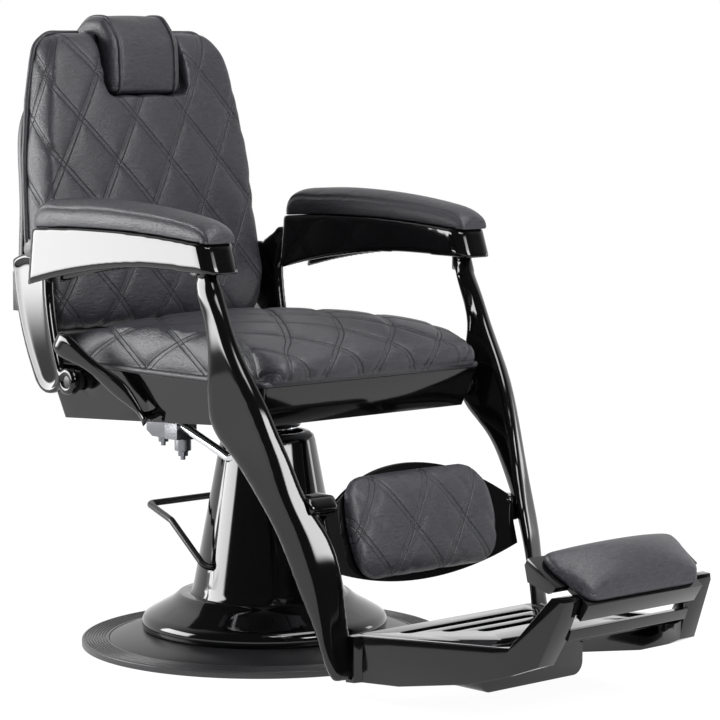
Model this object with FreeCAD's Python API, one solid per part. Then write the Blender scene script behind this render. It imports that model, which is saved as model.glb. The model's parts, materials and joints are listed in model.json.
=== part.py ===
import FreeCAD, Part
import math
import os

Vector = FreeCAD.Vector

# Barber chair, millimetres. +Z up, origin on the floor at the middle of the base.
# The sitter faces -Y, so the sitter's right arm is at -X.

# Base and column
ring_radius = 325.0
ring_width = 48.0
ring_height = 12.0
ring_grooves = 8
groove_width = 3.0
groove_depth = 2.0
seat_fit = 0.2
flange_radius = 218.0
flange_foot = 28.0
flange_edge = 24.0
flange_wall = 5.0
column_foot = 92.0
column_top = 380.0
column_foot_radius = 134.0
column_top_radius = 83.0
column_wall = 4.0
rear_cover_step = 6.0
front_bulge = 12.0
cover_neck = 62.0
neck_lip = 7.0

# Hydraulic lift
ram_radius = 32.0
running_fit = 0.05
cylinder_wall = 18.0
cylinder_top = 300.0
gland_height = 26.0
ram_foot = 60.0
ram_top = 388.0
collar_radius = 58.0
collar_height = 6.0
spigot_radius = 22.0
spigot_height = 20.0
bearing_gap = 0.3

# Pump pedal: a bent round rod on a shaft through the column
pedal_rod = 6.0
pedal_axis_z = 148.0
pedal_side = 137.0
pedal_knee_y = 92.0
pedal_knee_z = 222.0
pedal_bar_y = 192.0
pedal_bar_z = 238.0
pedal_bar_half = 108.0
pump_half = 66.0
pump_depth = 56.0
hub_radius = 15.0
hub_width = 18.0

# Seat
pan_half = 252.0
pan_front = -286.0
pan_rear = 304.0
pan_rim_z = 496.0
pan_floor_z = 413.7
pan_floor_slope = -0.0575
pan_taper = 13.0
pan_front_taper = 24.0
pan_rear_taper = 34.0
pan_wall = 4.0
pan_corner = 10.0
board_thick = 12.0
piping = 5.0
seat_crown = 592.0
soft_gap = 0.3
channel_width = 9.0
channel_depth = 3.0
quilt_wide = 120.0

# Four-bar linkage: seat pan, leaf brackets, armrest bars and legs
recline_y = 210.0
recline_z = 470.0
leg_pivot_y = -240.0
leg_pivot_z = 462.0
link_y = 44.0
link_z = 232.0
pin_radius = 10.0
arm_pin = 7.0
pivot_clearance = 0.3

# Armrests
arm_inner = 257.0
arm_outer = 331.0
arm_wall = 4.0
arm_front = -228.0
arm_toe = -245.0
arm_rear = 237.0
arm_heel = 250.0
arm_front_z = 733.0
arm_middle_z = 747.0
arm_rear_z = 741.0
arm_edge_front_z = 684.0
arm_edge_rear_z = 640.0
arm_deck = 6.0
pad_crown = 798.0
bar_inner = 316.0
bar_thick = 8.0
bar_deep = 14.0
bar_eye = 13.0

# Leaf brackets between the seat pan, the back and the armrests
leaf_inner = 262.0
leaf_thick = 18.0
leaf_hub = 24.0
leaf_ear = 17.0
leaf_inset = 3.0

# Backrest
back_foot_y = 360.0
back_foot_z = 600.0
back_lean = 0.105
back_thick = 82.0
back_crown = 16.0
back_bottom = 560.0
back_top = 1078.0
back_half = 246.0
shell_thick = 22.0
shell_bottom = 566.0
shell_top = 955.0
rail_radius = 14.0
recess_half = 95.0
recess_bottom = 966.0
recess_depth = 48.0

# Headrest
head_half = 80.0
head_gap = 2.0
head_bottom = 972.0
head_top = 1110.0
head_rear_drop = 60.0
head_wrap = 26.0
post_radius = 6.0
post_spread = 45.0
post_foot = 860.0
guide_wall = 3.0

# Legs and footrest
leg_round = 6.0
leg_eye = 13.0
platform_rear = -452.0
platform_bend = -770.0
platform_front = -790.0
platform_z = 104.0
platform_rise = 0.0715
platform_thick = 9.0
side_outer_rear = 209.0
side_outer_bend = 205.0
side_outer_front = 171.0
side_wall = 14.0
side_inner_front = 137.0
side_front = -890.0
side_top = 217.0
slot_width = 26.0
slot_halves = (150.0, 104.0, 72.0)
slot_rows = (-513.0, -563.0, -613.0)
skid_half = 120.0
skid_bottom = 26.0
skid_front = -660.0
skid_rear = -530.0

# Flip-over foot pad
flip_y = -876.0
flip_z = 200.0
flip_tilt = 34.0
flip_length = 96.0
flip_deck = 10.0
flip_plate = 10.0
flip_half_front = 133.0
flip_half_rear = 166.0
flip_cheek = 30.0
flip_pad_thick = 16.0
flip_pad_crown = 30.0
flip_pin = 6.0

# Calf rest
calf_half = 216.0
calf_y = -379.0
calf_z = 250.0
calf_lean = 0.27
calf_bow = 18.0
calf_thick = 8.0
calf_pad_half = 166.0
calf_pad_thick = 24.0
calf_pad_crown = 11.0

# Recline lever on the sitter's right
lever_y = 22.0
lever_z = 424.0
lever_shaft = 8.0


def pick(value, low, high, start, end):
    return start + (end - start) * (value - low) / (high - low)


def on_side(x):
    return lambda y, z: Vector(x, y, z)


def on_level(z):
    return lambda x, y: Vector(x, y, z)


def on_front(y):
    return lambda x, z: Vector(x, y, z)


def closed(points, place):
    spots = [place(*point) for point in points]
    return Part.makePolygon(spots + [spots[0]])


def rounded(points, radius, place):
    # Closed outline with every corner turned into a tangent arc.
    flat = [Vector(point[0], point[1], 0) for point in points]
    count = len(flat)
    edges = []
    spans = []
    for index in range(count):
        corner = flat[index]
        before = (flat[index - 1] - corner)
        after = (flat[(index + 1) % count] - corner)
        half = before.getAngle(after) / 2
        reach = min(radius / math.tan(half), 0.45 * before.Length, 0.45 * after.Length)
        before.normalize()
        after.normalize()
        middle = before + after
        middle.normalize()
        inner = reach * math.tan(half)
        centre = corner + middle * (reach / math.cos(half))
        spans.append((corner + before * reach, centre - middle * inner, corner + after * reach))
    for index in range(count):
        start, bend, end = [place(spot.x, spot.y) for spot in spans[index]]
        following = place(spans[(index + 1) % count][0].x, spans[(index + 1) % count][0].y)
        edges.append(Part.Arc(start, bend, end).toShape())
        if (following - end).Length > 1e-4:
            edges.append(Part.LineSegment(end, following).toShape())
    return Part.Wire(edges)


def prism(wire, along):
    return Part.Face(wire).extrude(along)


def side_prism(points, x0, x1, radius=0.0):
    place = on_side(x0)
    wire = rounded(points, radius, place) if radius else closed(points, place)
    return prism(wire, Vector(x1 - x0, 0, 0))


def turned(profile, angle=360.0, start=0.0):
    face = Part.Face(closed(profile, lambda r, z: Vector(r, 0, z)))
    solid = face.revolve(Vector(0, 0, 0), Vector(0, 0, 1), angle)
    solid.rotate(Vector(0, 0, 0), Vector(0, 0, 1), start)
    return solid


def drum_x(radius, x0, x1, y, z):
    return Part.makeCylinder(radius, x1 - x0, Vector(x0, y, z), Vector(1, 0, 0))


def drum_z(radius, x, y, z0, z1):
    return Part.makeCylinder(radius, z1 - z0, Vector(x, y, z0), Vector(0, 0, 1))


def hexagon(across, x, y, z0, z1):
    reach = across / math.sqrt(3)
    turns = [math.radians(60 * step) for step in range(6)]
    points = [(x + reach * math.cos(turn), y + reach * math.sin(turn)) for turn in turns]
    return prism(closed(points, on_level(z0)), Vector(0, 0, z1 - z0))


def rod(points, radius, bend):
    # Round rod along straight runs joined by tangent arcs.
    edges = []
    start = points[0]
    for before, corner, after in zip(points, points[1:], points[2:]):
        back = before - corner
        ahead = after - corner
        half = back.getAngle(ahead) / 2
        reach = min(bend / math.tan(half), 0.45 * back.Length, 0.45 * ahead.Length)
        back.normalize()
        ahead.normalize()
        middle = back + ahead
        middle.normalize()
        centre = corner + middle * (reach / math.cos(half))
        turn = centre - middle * (reach * math.tan(half))
        edges.append(Part.LineSegment(start, corner + back * reach).toShape())
        edges.append(Part.Arc(corner + back * reach, turn, corner + ahead * reach).toShape())
        start = corner + ahead * reach
    edges.append(Part.LineSegment(start, points[-1]).toShape())
    path = Part.Wire(edges)
    ring = Part.Wire(Part.makeCircle(radius, points[0], points[1] - points[0]))
    return path.makePipeShell([ring], True, False)


def loft(wires, ruled=False):
    solid = Part.makeLoft(wires, True, ruled)
    if solid.Volume < 0:
        solid.reverse()
    return solid


def pad_section(place, half, base, shoulder, crown, bulge, inset, sag=0.0):
    # Slice of a cushion: base, two drawn-in sides and a crowned top.
    middle = (base + shoulder) / 2
    right = place(half, base)
    left = place(-half, base)
    right_top = place(half - inset, shoulder)
    left_top = place(inset - half, shoulder)
    if sag:
        floor = Part.Arc(left, place(0, base - sag), right).toShape()
    else:
        floor = Part.LineSegment(left, right).toShape()
    return Part.Wire([
        floor,
        Part.Arc(right, place(half + bulge, middle), right_top).toShape(),
        Part.Arc(right_top, place(0, crown), left_top).toShape(),
        Part.Arc(left_top, place(-half - bulge, middle), left).toShape(),
    ])


def quilt_walls(place, along, depth, half, low, high, first, tall):
    # Thin walls on both diagonals of a diamond lattice, used to sink the sewn channels.
    rise = tall / quilt_wide
    walls = []
    reach = (high - low) / rise
    steps = int((2 * half + reach) / quilt_wide) + 2
    shift = channel_width / 2 * math.hypot(1, rise) / rise
    for lean in (1, -1):
        for step in range(-steps, steps + 1):
            foot = first + step * quilt_wide
            head = foot + lean * reach
            if max(foot, head) < -half or min(foot, head) > half:
                continue
            outline = [(foot - shift, low), (foot + shift, low), (head + shift, high), (head - shift, high)]
            walls.append(prism(closed(outline, place), along * depth))
    return Part.makeCompound(walls)


def quilted(solid, walls, inward):
    lowered = solid.copy()
    lowered.translate(inward * channel_depth)
    grooves = [wall.cut(lowered) for wall in walls.Solids]
    return solid.cut(grooves)


def mirrored(shape):
    return shape.mirror(Vector(0, 0, 0), Vector(1, 0, 0))


def group(shapes):
    return Part.makeCompound(shapes)


def save(name, shape):
    shape.exportStep(os.path.join("parts", name + ".step"))


def save_pair(name, right_side):
    # The sitter's left is at +X, so the shape at +X is the left one.
    save(name + "_left", right_side)
    save(name + "_right", mirrored(right_side))


# Base

ring_inner = ring_radius - ring_width


def column_radius(z):
    return pick(z, column_foot + 20, column_top - 14, column_foot_radius - 3, column_top_radius)


def rubber_ring():
    pitch = (ring_width - 8) / ring_grooves
    profile = [(ring_inner + seat_fit, 0), (ring_radius, 0), (ring_radius, ring_height - 2)]
    profile.append((ring_radius - 2, ring_height))
    for step in range(ring_grooves):
        edge = ring_radius - 5 - step * pitch
        profile += [
            (edge, ring_height),
            (edge, ring_height - groove_depth),
            (edge - groove_width, ring_height - groove_depth),
            (edge - groove_width, ring_height),
        ]
    profile.append((ring_inner + seat_fit, ring_height))
    return turned(profile)


def base_plate():
    rim = flange_radius + 4
    hub = cylinder_radius + 30
    foot = ring_inner - 70
    profile = [
        (0, 0), (hub, 0), (hub, 12), (foot, 12), (foot, 0), (ring_inner, 0), (ring_inner, ring_height - 1),
        (ring_inner - 20, ring_height + 7), (rim, flange_foot), (0, flange_foot),
    ]
    return turned(profile)


def column_flange():
    edge_top = flange_foot + flange_edge
    inner = column_foot_radius - 8
    profile = [
        (flange_radius - 3, flange_foot), (flange_radius, flange_foot + 5), (flange_radius, edge_top - 8),
        (flange_radius - 4, edge_top), (flange_radius - 13, edge_top + 6),
        (column_foot_radius + 32, column_foot - 12), (column_foot_radius + 18, column_foot),
        (inner, column_foot), (inner, column_foot - flange_wall),
        (column_foot_radius + 28, column_foot - 12 - flange_wall),
        (flange_radius - 15, edge_top + 6 - flange_wall), (flange_radius - 3 - flange_wall, edge_top - 10),
        (flange_radius - 3 - flange_wall, flange_foot),
    ]
    return turned(profile)


def column_profile(step):
    shoulder = column_top - 14
    outer = [
        (column_foot_radius + 5 - step, column_foot), (column_foot_radius - step, column_foot + 7),
        (column_foot_radius - 3 - step, column_foot + 20), (column_top_radius - step, shoulder),
        (column_top_radius - 3 - step, column_top - 6), (column_top_radius - 11 - step, column_top),
        (cover_neck, column_top),
    ]
    inner = [
        (cover_neck, column_top - neck_lip), (column_top_radius - 12 - step, column_top - neck_lip),
        (column_top_radius - column_wall - step, shoulder - 4),
        (column_foot_radius - 3 - column_wall - step, column_foot + 20),
        (column_foot_radius - column_wall - step, column_foot),
    ]
    return outer + inner


def pedal_hole():
    return drum_x(pedal_rod + 1.5, -pedal_side - 10, pedal_side + 10, 0, pedal_axis_z)


def rear_cover():
    return turned(column_profile(rear_cover_step), 180.0, 0.0).cut(pedal_hole())


def front_cover():
    # Half-round front joined to the seam by short straight walls.
    shell = turned(column_profile(0.0), 180.0, 180.0)
    shell.translate(Vector(0, -front_bulge, 0))
    flank = prism(closed(column_profile(0.0), lambda r, z: Vector(r, -front_bulge, z)), Vector(0, front_bulge, 0))
    return shell.fuse([flank, mirrored(flank)]).removeSplitter().cut(pedal_hole())


cylinder_radius = ram_radius + cylinder_wall


def hydraulic_cylinder():
    bore = ram_radius + running_fit
    body = turned([
        (bore, flange_foot + 8), (bore, cylinder_top), (cylinder_radius, cylinder_top),
        (cylinder_radius, flange_foot + 14), (cylinder_radius + 32, flange_foot + 14),
        (cylinder_radius + 32, flange_foot), (0, flange_foot), (0, flange_foot + 8),
    ])
    return body


def cylinder_gland():
    bore = ram_radius + running_fit
    top = cylinder_top + gland_height
    return turned([
        (bore, cylinder_top), (cylinder_radius + 4, cylinder_top), (cylinder_radius + 4, top - 6),
        (cylinder_radius - 6, top), (bore, top),
    ])


def cylinder_bolts():
    bolts = []
    circle = cylinder_radius + 20
    for step in range(6):
        turn = math.radians(60 * step + 30)
        spot = (circle * math.cos(turn), circle * math.sin(turn))
        bolts.append(hexagon(16, *spot, flange_foot + 14, flange_foot + 22))
    return group(bolts)


def pump_block():
    block = Part.makeBox(2 * pump_half, pump_depth, 60, Vector(-pump_half, -pump_depth / 2, pedal_axis_z - 30))
    block = block.cut(drum_z(cylinder_radius, 0, 0, 0, cylinder_top))
    bore = drum_x(pedal_rod + running_fit, -pump_half, pump_half, 0, pedal_axis_z)
    return group(block.cut(bore).Solids)


def pump_pedal():
    tip = cylinder_radius + 3
    spots = [
        Vector(tip, 0, pedal_axis_z), Vector(pedal_side, 0, pedal_axis_z),
        Vector(pedal_side, pedal_knee_y, pedal_knee_z), Vector(pedal_bar_half, pedal_bar_y, pedal_bar_z),
    ]
    spots += [Vector(-spot.x, spot.y, spot.z) for spot in reversed(spots)]
    return rod(spots, pedal_rod, 16.0)


def pedal_hubs():
    start = pump_half + 2
    hub = drum_x(hub_radius, start, start + hub_width, 0, pedal_axis_z)
    hub = hub.cut(drum_x(pedal_rod, 0, pedal_side, 0, pedal_axis_z))
    return group([hub, mirrored(hub)])


# Lift and swivel

def lift_ram():
    shaft = drum_z(ram_radius, 0, 0, ram_foot, ram_top)
    spigot = drum_z(spigot_radius, 0, 0, ram_top, ram_top + spigot_height)
    return shaft.fuse(spigot).removeSplitter()


def ram_collar():
    low = ram_top - collar_height
    return turned([
        (ram_radius, low), (collar_radius - 2, low), (collar_radius, low + 2), (collar_radius, ram_top),
        (ram_radius, ram_top),
    ])


def pan_floor(y):
    return pan_floor_z + pan_floor_slope * y


casting_thick = 10.0
casting_half = 120.0
casting_front = -130.0
casting_rear = 190.0


def mechanism_casting():
    slab = side_prism([
        (casting_front, pan_floor(casting_front)), (casting_rear, pan_floor(casting_rear)),
        (casting_rear, pan_floor(casting_rear) - casting_thick),
        (casting_front, pan_floor(casting_front) - casting_thick),
    ], -casting_half, casting_half)
    foot = ram_top + bearing_gap
    boss = Part.makeCone(collar_radius + 6, 84, 40, Vector(0, 0, foot), Vector(0, 0, 1))
    under = side_prism([
        (-200, pan_floor(-200)), (200, pan_floor(200)), (200, 0), (-200, 0),
    ], -casting_half, casting_half)
    socket = drum_z(spigot_radius + running_fit, 0, 0, 0, ram_top + spigot_height + bearing_gap)
    return slab.fuse(boss.common(under)).cut(socket).removeSplitter()


bracket_x = -112.0
bracket_y = 132.0
bracket_low = 364.0
boss_drop = 20.0
boss_x = -106.0
boss_y = 97.0
rear_bolt_y = 168.0
bolt_across = 17.0
tube_radius = 8.0
tube_head = Vector(-140, 66, 398)
tube_tail = Vector(-140, -70, 349.5)


def lock_bracket():
    # Cast bracket under the carrier with a boss, and an eye for the lock cylinder.
    front = bracket_y - 52
    rear = bracket_y + 50
    plate = side_prism([
        (front, pan_floor(front) - casting_thick), (rear, pan_floor(rear) - casting_thick),
        (rear, bracket_low + 10), (rear - 16, bracket_low), (front, bracket_low),
    ], bracket_x - 8, bracket_x + 24)
    boss = drum_z(15, boss_x, boss_y, bracket_low - boss_drop, bracket_low + 8)
    eye = Part.makeBox(42, 34, 30, Vector(tube_head.x - 12, front - 22, pan_floor(front) - casting_thick - 30))
    under = Part.makeBox(400, 400, 100, Vector(-200, -100, pan_floor(front) - casting_thick - 1.2))
    bore = rod([tube_head + Vector(0, 56, 20), tube_tail], tube_radius, 1.0)
    return plate.fuse([boss, eye.cut(under)]).cut(bore).removeSplitter()


def mechanism_bolts():
    bolts = []
    for x, y, seat in ((boss_x, boss_y, bracket_low - boss_drop), (bracket_x + 8, rear_bolt_y - 14, bracket_low)):
        washer = drum_z(bolt_across * 0.62, x, y, seat - 2, seat)
        head = hexagon(bolt_across, x, y, seat - 10, seat - 2)
        stem = drum_z(4.5, x, y, seat - 17, seat - 10)
        bolts.append(head.fuse([washer, stem]).removeSplitter())
    return group(bolts)


def lock_tube():
    # Recline lock cylinder, sloping down and forward from its eye.
    return rod([tube_head, tube_tail], tube_radius, 1.0)


# Seat

def pan_outline(inset, z_rim, floor_lift, level):
    # Rounded rectangle at the rim (level 1) or on the sloped floor (level 0).
    fall = 1.0 - level
    half = pan_half - inset - pan_taper * fall
    front = pan_front + inset + pan_front_taper * fall
    rear = pan_rear - inset - pan_rear_taper * fall
    points = [(-half, front), (half, front), (half, rear), (-half, rear)]

    def place(x, y):
        return Vector(x, y, z_rim if level else pan_floor(y) + floor_lift)
    return rounded(points, pan_corner - inset, place)


def seat_pan():
    outer = loft([pan_outline(0, 0, 0, 0), pan_outline(0, pan_rim_z, 0, 1)], True)
    inner = loft([pan_outline(pan_wall, 0, pan_wall, 0), pan_outline(pan_wall, pan_rim_z + 0.01, 0, 1)], True)
    pan = outer.cut(inner)
    holes = [drum_x(lever_shaft + running_fit, -pan_half - 5, -pan_half + 40, lever_y, lever_z)]
    for y, z in ((recline_y, recline_z), (leg_pivot_y, leg_pivot_z)):
        holes.append(drum_x(pin_radius, -pan_half - 5, pan_half + 5, y, z))
    return pan.cut(holes)


def seat_board():
    low = pan_rim_z - board_thick
    inset = pan_wall + 2.8
    points = [
        (-pan_half + inset, pan_front + inset + 2), (pan_half - inset, pan_front + inset + 2),
        (pan_half - inset, pan_rear - inset - 4), (-pan_half + inset, pan_rear - inset - 4),
    ]
    return prism(rounded(points, pan_corner + 6, on_level(low)), Vector(0, 0, board_thick))


def seat_cushion():
    foot = pan_rim_z + soft_gap
    low = pan_half - 6
    slices = []
    for y, half, base, crown, drop, bulge in (
        (-307, low - 30, foot + 22, seat_crown - 56, 5, 1.0),
        (-299, low - 16, foot + 9, seat_crown - 42, 9, 1.5),
        (-282, low - 5, foot, seat_crown - 30, 15, 2.0),
        (-240, low, foot, seat_crown - 13, 18, 2.0),
        (-150, low, foot, seat_crown, 17, 2.0),
        (-20, low, foot, seat_crown + 2, 15, 1.5),
        (120, low, foot, seat_crown - 3, 16, 2.0),
        (220, low - 2, foot, seat_crown - 19, 16, 2.0),
        (270, low - 8, foot, seat_crown - 38, 13, 2.0),
        (286, low - 22, foot + 8, seat_crown - 56, 8, 1.5),
    ):
        slices.append(pad_section(on_front(y), half, base, crown - drop, crown, bulge, 16))
    above = Part.makeBox(800, 800, 200, Vector(-400, -400, foot))
    solid = loft(slices).common(above)
    walls = quilt_walls(on_level(pan_rim_z - 10), Vector(0, 0, 1), 140, pan_half + 10, -312, 310, -85, 170)
    return quilted(solid, walls, Vector(0, 0, -1)).cut(seat_piping(piping + soft_gap))


def seat_piping(radius):
    half = pan_half - 2
    front = pan_front + 2
    rear = pan_rear - 20
    z = pan_rim_z + piping + soft_gap
    points = [(-half, front), (half, front), (half, rear), (-half, rear)]
    path = rounded(points, pan_corner, on_level(z))
    first = path.Edges[0]
    start = first.Vertexes[0].Point
    ring = Part.Wire(Part.makeCircle(radius, start, first.tangentAt(first.FirstParameter)))
    return path.makePipeShell([ring], True, False)


def pan_pin(y, z, reach):
    # Pin through the pan's side wall with a spacer ring outside the wall.
    pin = drum_x(pin_radius, pan_half - 30, reach, y, z)
    ring = drum_x(pin_radius + 8, pan_half - pan_wall / 2, leaf_inner - bearing_gap, y, z)
    return pin.fuse(ring.cut(seat_pan())).removeSplitter().Solids


def pan_pins(y, z, reach):
    pieces = pan_pin(y, z, reach)
    pin = max(pieces, key=lambda piece: piece.Volume)
    return group([pin, mirrored(pin)])


# Recline lever

def recline_lever():
    slices = []
    for y, z, x, wide, tall in (
        (lever_y - 12, lever_z - 10, pan_half + 9, 9, 10),
        (lever_y + 20, lever_z + 22, pan_half + 11, 10, 11),
        (lever_y + 90, lever_z + 70, pan_half + 27, 12, 14),
        (lever_y + 140, lever_z + 98, pan_half + 39, 14, 18),
        (lever_y + 174, lever_z + 115, pan_half + 44, 16, 22),
        (lever_y + 190, lever_z + 123, pan_half + 44, 9, 12),
    ):
        up = Vector(0, -0.6, 0.8)
        out = Vector(1, 0, 0)
        centre = Vector(-x, y, z)

        def place(u, v, centre=centre, out=out, up=up):
            return centre + out * u + up * v
        points = [(-wide / 2, -tall), (wide / 2, -tall), (wide / 2, tall), (-wide / 2, tall)]
        slices.append(rounded(points, wide * 0.4, place))
    blade = loft(slices)
    shaft = drum_x(lever_shaft, -pan_half - 8, -pan_half + 30, lever_y, lever_z)
    return blade.fuse(shaft).removeSplitter()


# Armrests, made at +X

arm_rear_y = recline_y + link_y
arm_rear_pin_z = recline_z + link_z
arm_front_y = leg_pivot_y + link_y
arm_front_pin_z = leg_pivot_z + link_z
deck_front = (arm_front, arm_front_z)
deck_middle = (40.0, arm_middle_z)
deck_rear = (arm_rear, arm_rear_z)


def arc_on(spots, place):
    return Part.Arc(*[place(*spot) for spot in spots]).toShape()


def line_on(start, end, place):
    return Part.LineSegment(place(*start), place(*end)).toShape()


def deck_height(y):
    # Height of the bowed top of the armrest shell.
    bow = Part.Circle(*[Vector(spot[0], spot[1], 0) for spot in (deck_front, deck_middle, deck_rear)])
    return bow.Center.y + math.sqrt(bow.Radius ** 2 - (y - bow.Center.x) ** 2)


def hollow_top(y):
    return pick(y, arm_front, arm_rear, arm_front_z - arm_deck, arm_rear_z - arm_deck - 1)


def arm_shell():
    place = on_side(arm_inner)
    toe = (arm_toe, arm_edge_front_z)
    heel = (arm_heel, arm_edge_rear_z)
    arch = (-100.0, arm_edge_front_z + 4)
    outline = Part.Wire([
        line_on(toe, deck_front, place), arc_on((deck_front, deck_middle, deck_rear), place),
        line_on(deck_rear, heel, place), arc_on((heel, (90.0, arm_edge_rear_z + 32), arch), place),
        line_on(arch, toe, place),
    ])
    outer = prism(outline, Vector(arm_outer - arm_inner, 0, 0))
    outer = outer.makeFillet(22, [edge for edge in outer.Edges if is_front_upright(edge)])
    hollow = side_prism([
        (arm_toe + arm_wall - 10, 600), (arm_toe + arm_wall, arm_edge_front_z),
        (arm_front + arm_wall, hollow_top(arm_front)), (arm_heel + 30, hollow_top(arm_heel + 30)),
        (arm_heel + 30, 600),
    ], arm_inner + arm_wall, arm_outer - arm_wall)
    hollow = hollow.makeFillet(18, [edge for edge in hollow.Edges if is_front_upright(edge)])
    return outer.cut(hollow)


def is_front_upright(edge):
    box = edge.BoundBox
    return box.XLength < 0.1 and box.ZLength > 30 and box.YMax < arm_front + 12


def arm_pad():
    middle = (arm_inner + arm_outer) / 2
    half = (arm_outer - arm_inner) / 2
    slices = []
    for y, shrink, crown in (
        (arm_front - 7, 9, pad_crown - 44), (arm_front - 2, 4, pad_crown - 38),
        (arm_front + 14, 1, pad_crown - 28), (arm_front + 50, 0, pad_crown - 19),
        (-100, 0, pad_crown - 9), (0, 0, pad_crown - 2), (100, 0, pad_crown),
        (180, 0, pad_crown - 3), (arm_rear - 20, 0, pad_crown - 8), (arm_rear - 4, 3, pad_crown - 18),
        (arm_rear + 2, 8, pad_crown - 32),
    ):
        def place(x, z, y=y):
            return Vector(middle + x, y, z)
        base = deck_height(y) + 2 * soft_gap
        slices.append(pad_section(place, half - shrink, base, crown - 8, crown, 1.0, 7))
    return loft(slices)


def arm_bar():
    end = bar_inner + bar_thick
    bar = side_prism([
        (arm_front_y, arm_front_pin_z + 4), (arm_rear_y, arm_rear_pin_z + 4),
        (arm_rear_y, arm_rear_pin_z + 4 + bar_deep), (arm_front_y, arm_front_pin_z + 4 + bar_deep),
    ], bar_inner, end)
    pins = ((arm_front_y, arm_front_pin_z), (arm_rear_y, arm_rear_pin_z))
    eyes = [drum_x(bar_eye, bar_inner, end, y, z) for y, z in pins]
    posts = []
    for y in (-120, 60, 200):
        posts.append(drum_z(3.5, bar_inner + bar_thick / 2, y, arm_front_pin_z + 12, hollow_top(y) - 0.3))
    rear_pin = drum_x(arm_pin, leaf_inner + 2, end, arm_rear_y, arm_rear_pin_z)
    front_hole = drum_x(arm_pin + pivot_clearance, bar_inner - 5, end + 5, arm_front_y, arm_front_pin_z)
    return bar.fuse(eyes + posts + [rear_pin]).cut(front_hole).removeSplitter()


# Leaf brackets and backrest

def arcs(spots, x):
    # Closed outline of arcs: start, middle, end, middle, and so on back to the start.
    place = on_side(x)
    points = [place(*spot) for spot in spots]
    points.append(points[0])
    edges = []
    for index in range(0, len(points) - 2, 2):
        edges.append(Part.Arc(points[index], points[index + 1], points[index + 2]).toShape())
    return Part.Wire(edges)


def leaf_spots(inset):
    return [
        (298 - inset, 466 + inset), (344 - inset, 575), (361 - inset, 678 - inset),
        (316, 689 - inset), (262 + inset, 668 - inset), (251 + inset, 560), (222 + inset, 470 + inset),
        (252, 446 + inset),
    ]


def leaf_bracket():
    blade = prism(arcs(leaf_spots(0), leaf_inner), Vector(leaf_thick, 0, 0))
    face = leaf_inner + leaf_thick
    panel = prism(arcs(leaf_spots(8), face - leaf_inset), Vector(leaf_inset + 1, 0, 0))
    hub = drum_x(leaf_hub, leaf_inner, face, recline_y, recline_z)
    ear = drum_x(leaf_ear, leaf_inner, face, arm_rear_y, arm_rear_pin_z)
    web = side_prism([(240, 698), (258, 716), (300, 692), (300, 660), (256, 650)], leaf_inner, face - leaf_inset)
    low_hole = drum_x(pin_radius + running_fit, leaf_inner - 5, face + 5, recline_y, recline_z)
    top_hole = drum_x(arm_pin + running_fit, leaf_inner - 5, face + 5, arm_rear_y, arm_rear_pin_z)
    return blade.cut(panel).fuse([hub, ear, web]).cut([low_hole, top_hole]).removeSplitter()


def back_y(z):
    return back_foot_y + back_lean * (z - back_foot_z)


rail_y = 318.0
rail_z = back_bottom - rail_radius - 4


def back_rail():
    return drum_x(rail_radius, -leaf_inner, leaf_inner, rail_y, rail_z)


def back_strap():
    # Block that carries the back shell on the inner face of a leaf bracket.
    z = shell_bottom + 18
    tall = 70
    outer = Part.makeBox(4, 48, tall, Vector(leaf_inner - 4, 336, z))
    inner = Part.makeBox(40, 14, tall, Vector(leaf_inner - 40, 370 + soft_gap, z))
    return outer.fuse(inner).cut(back_shell()).removeSplitter()


def beside_parting(shift, reach):
    # Space on one side of the leaning plane between the back cushion and its shell.
    low = 500
    high = 1150
    return side_prism([
        (back_y(low) + shift, low), (back_y(high) + shift, high), (back_y(high) + shift + reach, high),
        (back_y(low) + shift + reach, low),
    ], -400, 400)


def back_outline_half(z):
    stops = (
        (back_bottom, 222), (back_bottom + 10, 232), (back_bottom + 40, back_half), (700, back_half),
        (860, 237), (960, 222), (1020, 208), (1050, 200), (1066, 188), (back_top, 160),
    )
    for (low, start), (high, end) in zip(stops, stops[1:]):
        if z <= high:
            return pick(z, low, high, start, end)
    return stops[-1][1]


def back_cushion():
    slices = []
    rows = (
        (back_bottom, 34, 4, 10), (back_bottom + 10, 14, 8, 4), (back_bottom + 40, 2, 13, 0),
        (690, 0, back_crown, 0), (800, 2, back_crown, 0), (920, 6, back_crown - 2, 0),
        (1000, 10, back_crown - 4, 0), (1040, 16, 9, 0), (1064, 26, 6, 2), (back_top, 44, 2, 8),
    )
    for z, thin, crown, lift in rows:
        rear = back_y(z)
        shoulder = back_thick - thin

        def place(x, h, z=z, rear=rear):
            return Vector(x, rear - h, z)
        slices.append(pad_section(place, back_outline_half(z), lift, shoulder, shoulder + crown, 4, 8))
    solid = loft(slices).cut(beside_parting(0, 200))
    solid = solid.cut(head_recess())
    lattice = quilt_walls(on_front(200), Vector(0, 1, 0), 190, back_half + 10, 549, back_top + 20, 30, 154)
    solid = quilted(solid, lattice, Vector(0, 1, 0))
    return solid.cut(guide_bores() + back_piping(piping + soft_gap))


def head_recess():
    def place(y, z):
        return Vector(-recess_half, y, z)
    front = back_y(recess_bottom) - back_thick - 60
    deep = back_y(recess_bottom) - back_thick + recess_depth
    rise = back_top + 30 - recess_bottom
    points = [
        (front, recess_bottom), (deep, recess_bottom), (deep + back_lean * rise, recess_bottom + rise),
        (front, recess_bottom + rise),
    ]
    return prism(closed(points, place), Vector(2 * recess_half, 0, 0))


post_sides = (-post_spread, post_spread)
post_top = back_top + 8


def post_line(z):
    return back_y(z) - (back_thick - recess_depth) * 0.5 + 2


def leaning_drum(radius, x, z0, z1):
    foot = Vector(x, post_line(z0), z0)
    head = Vector(x, post_line(z1), z1)
    return Part.makeCylinder(radius, (head - foot).Length, foot, head - foot)


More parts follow.
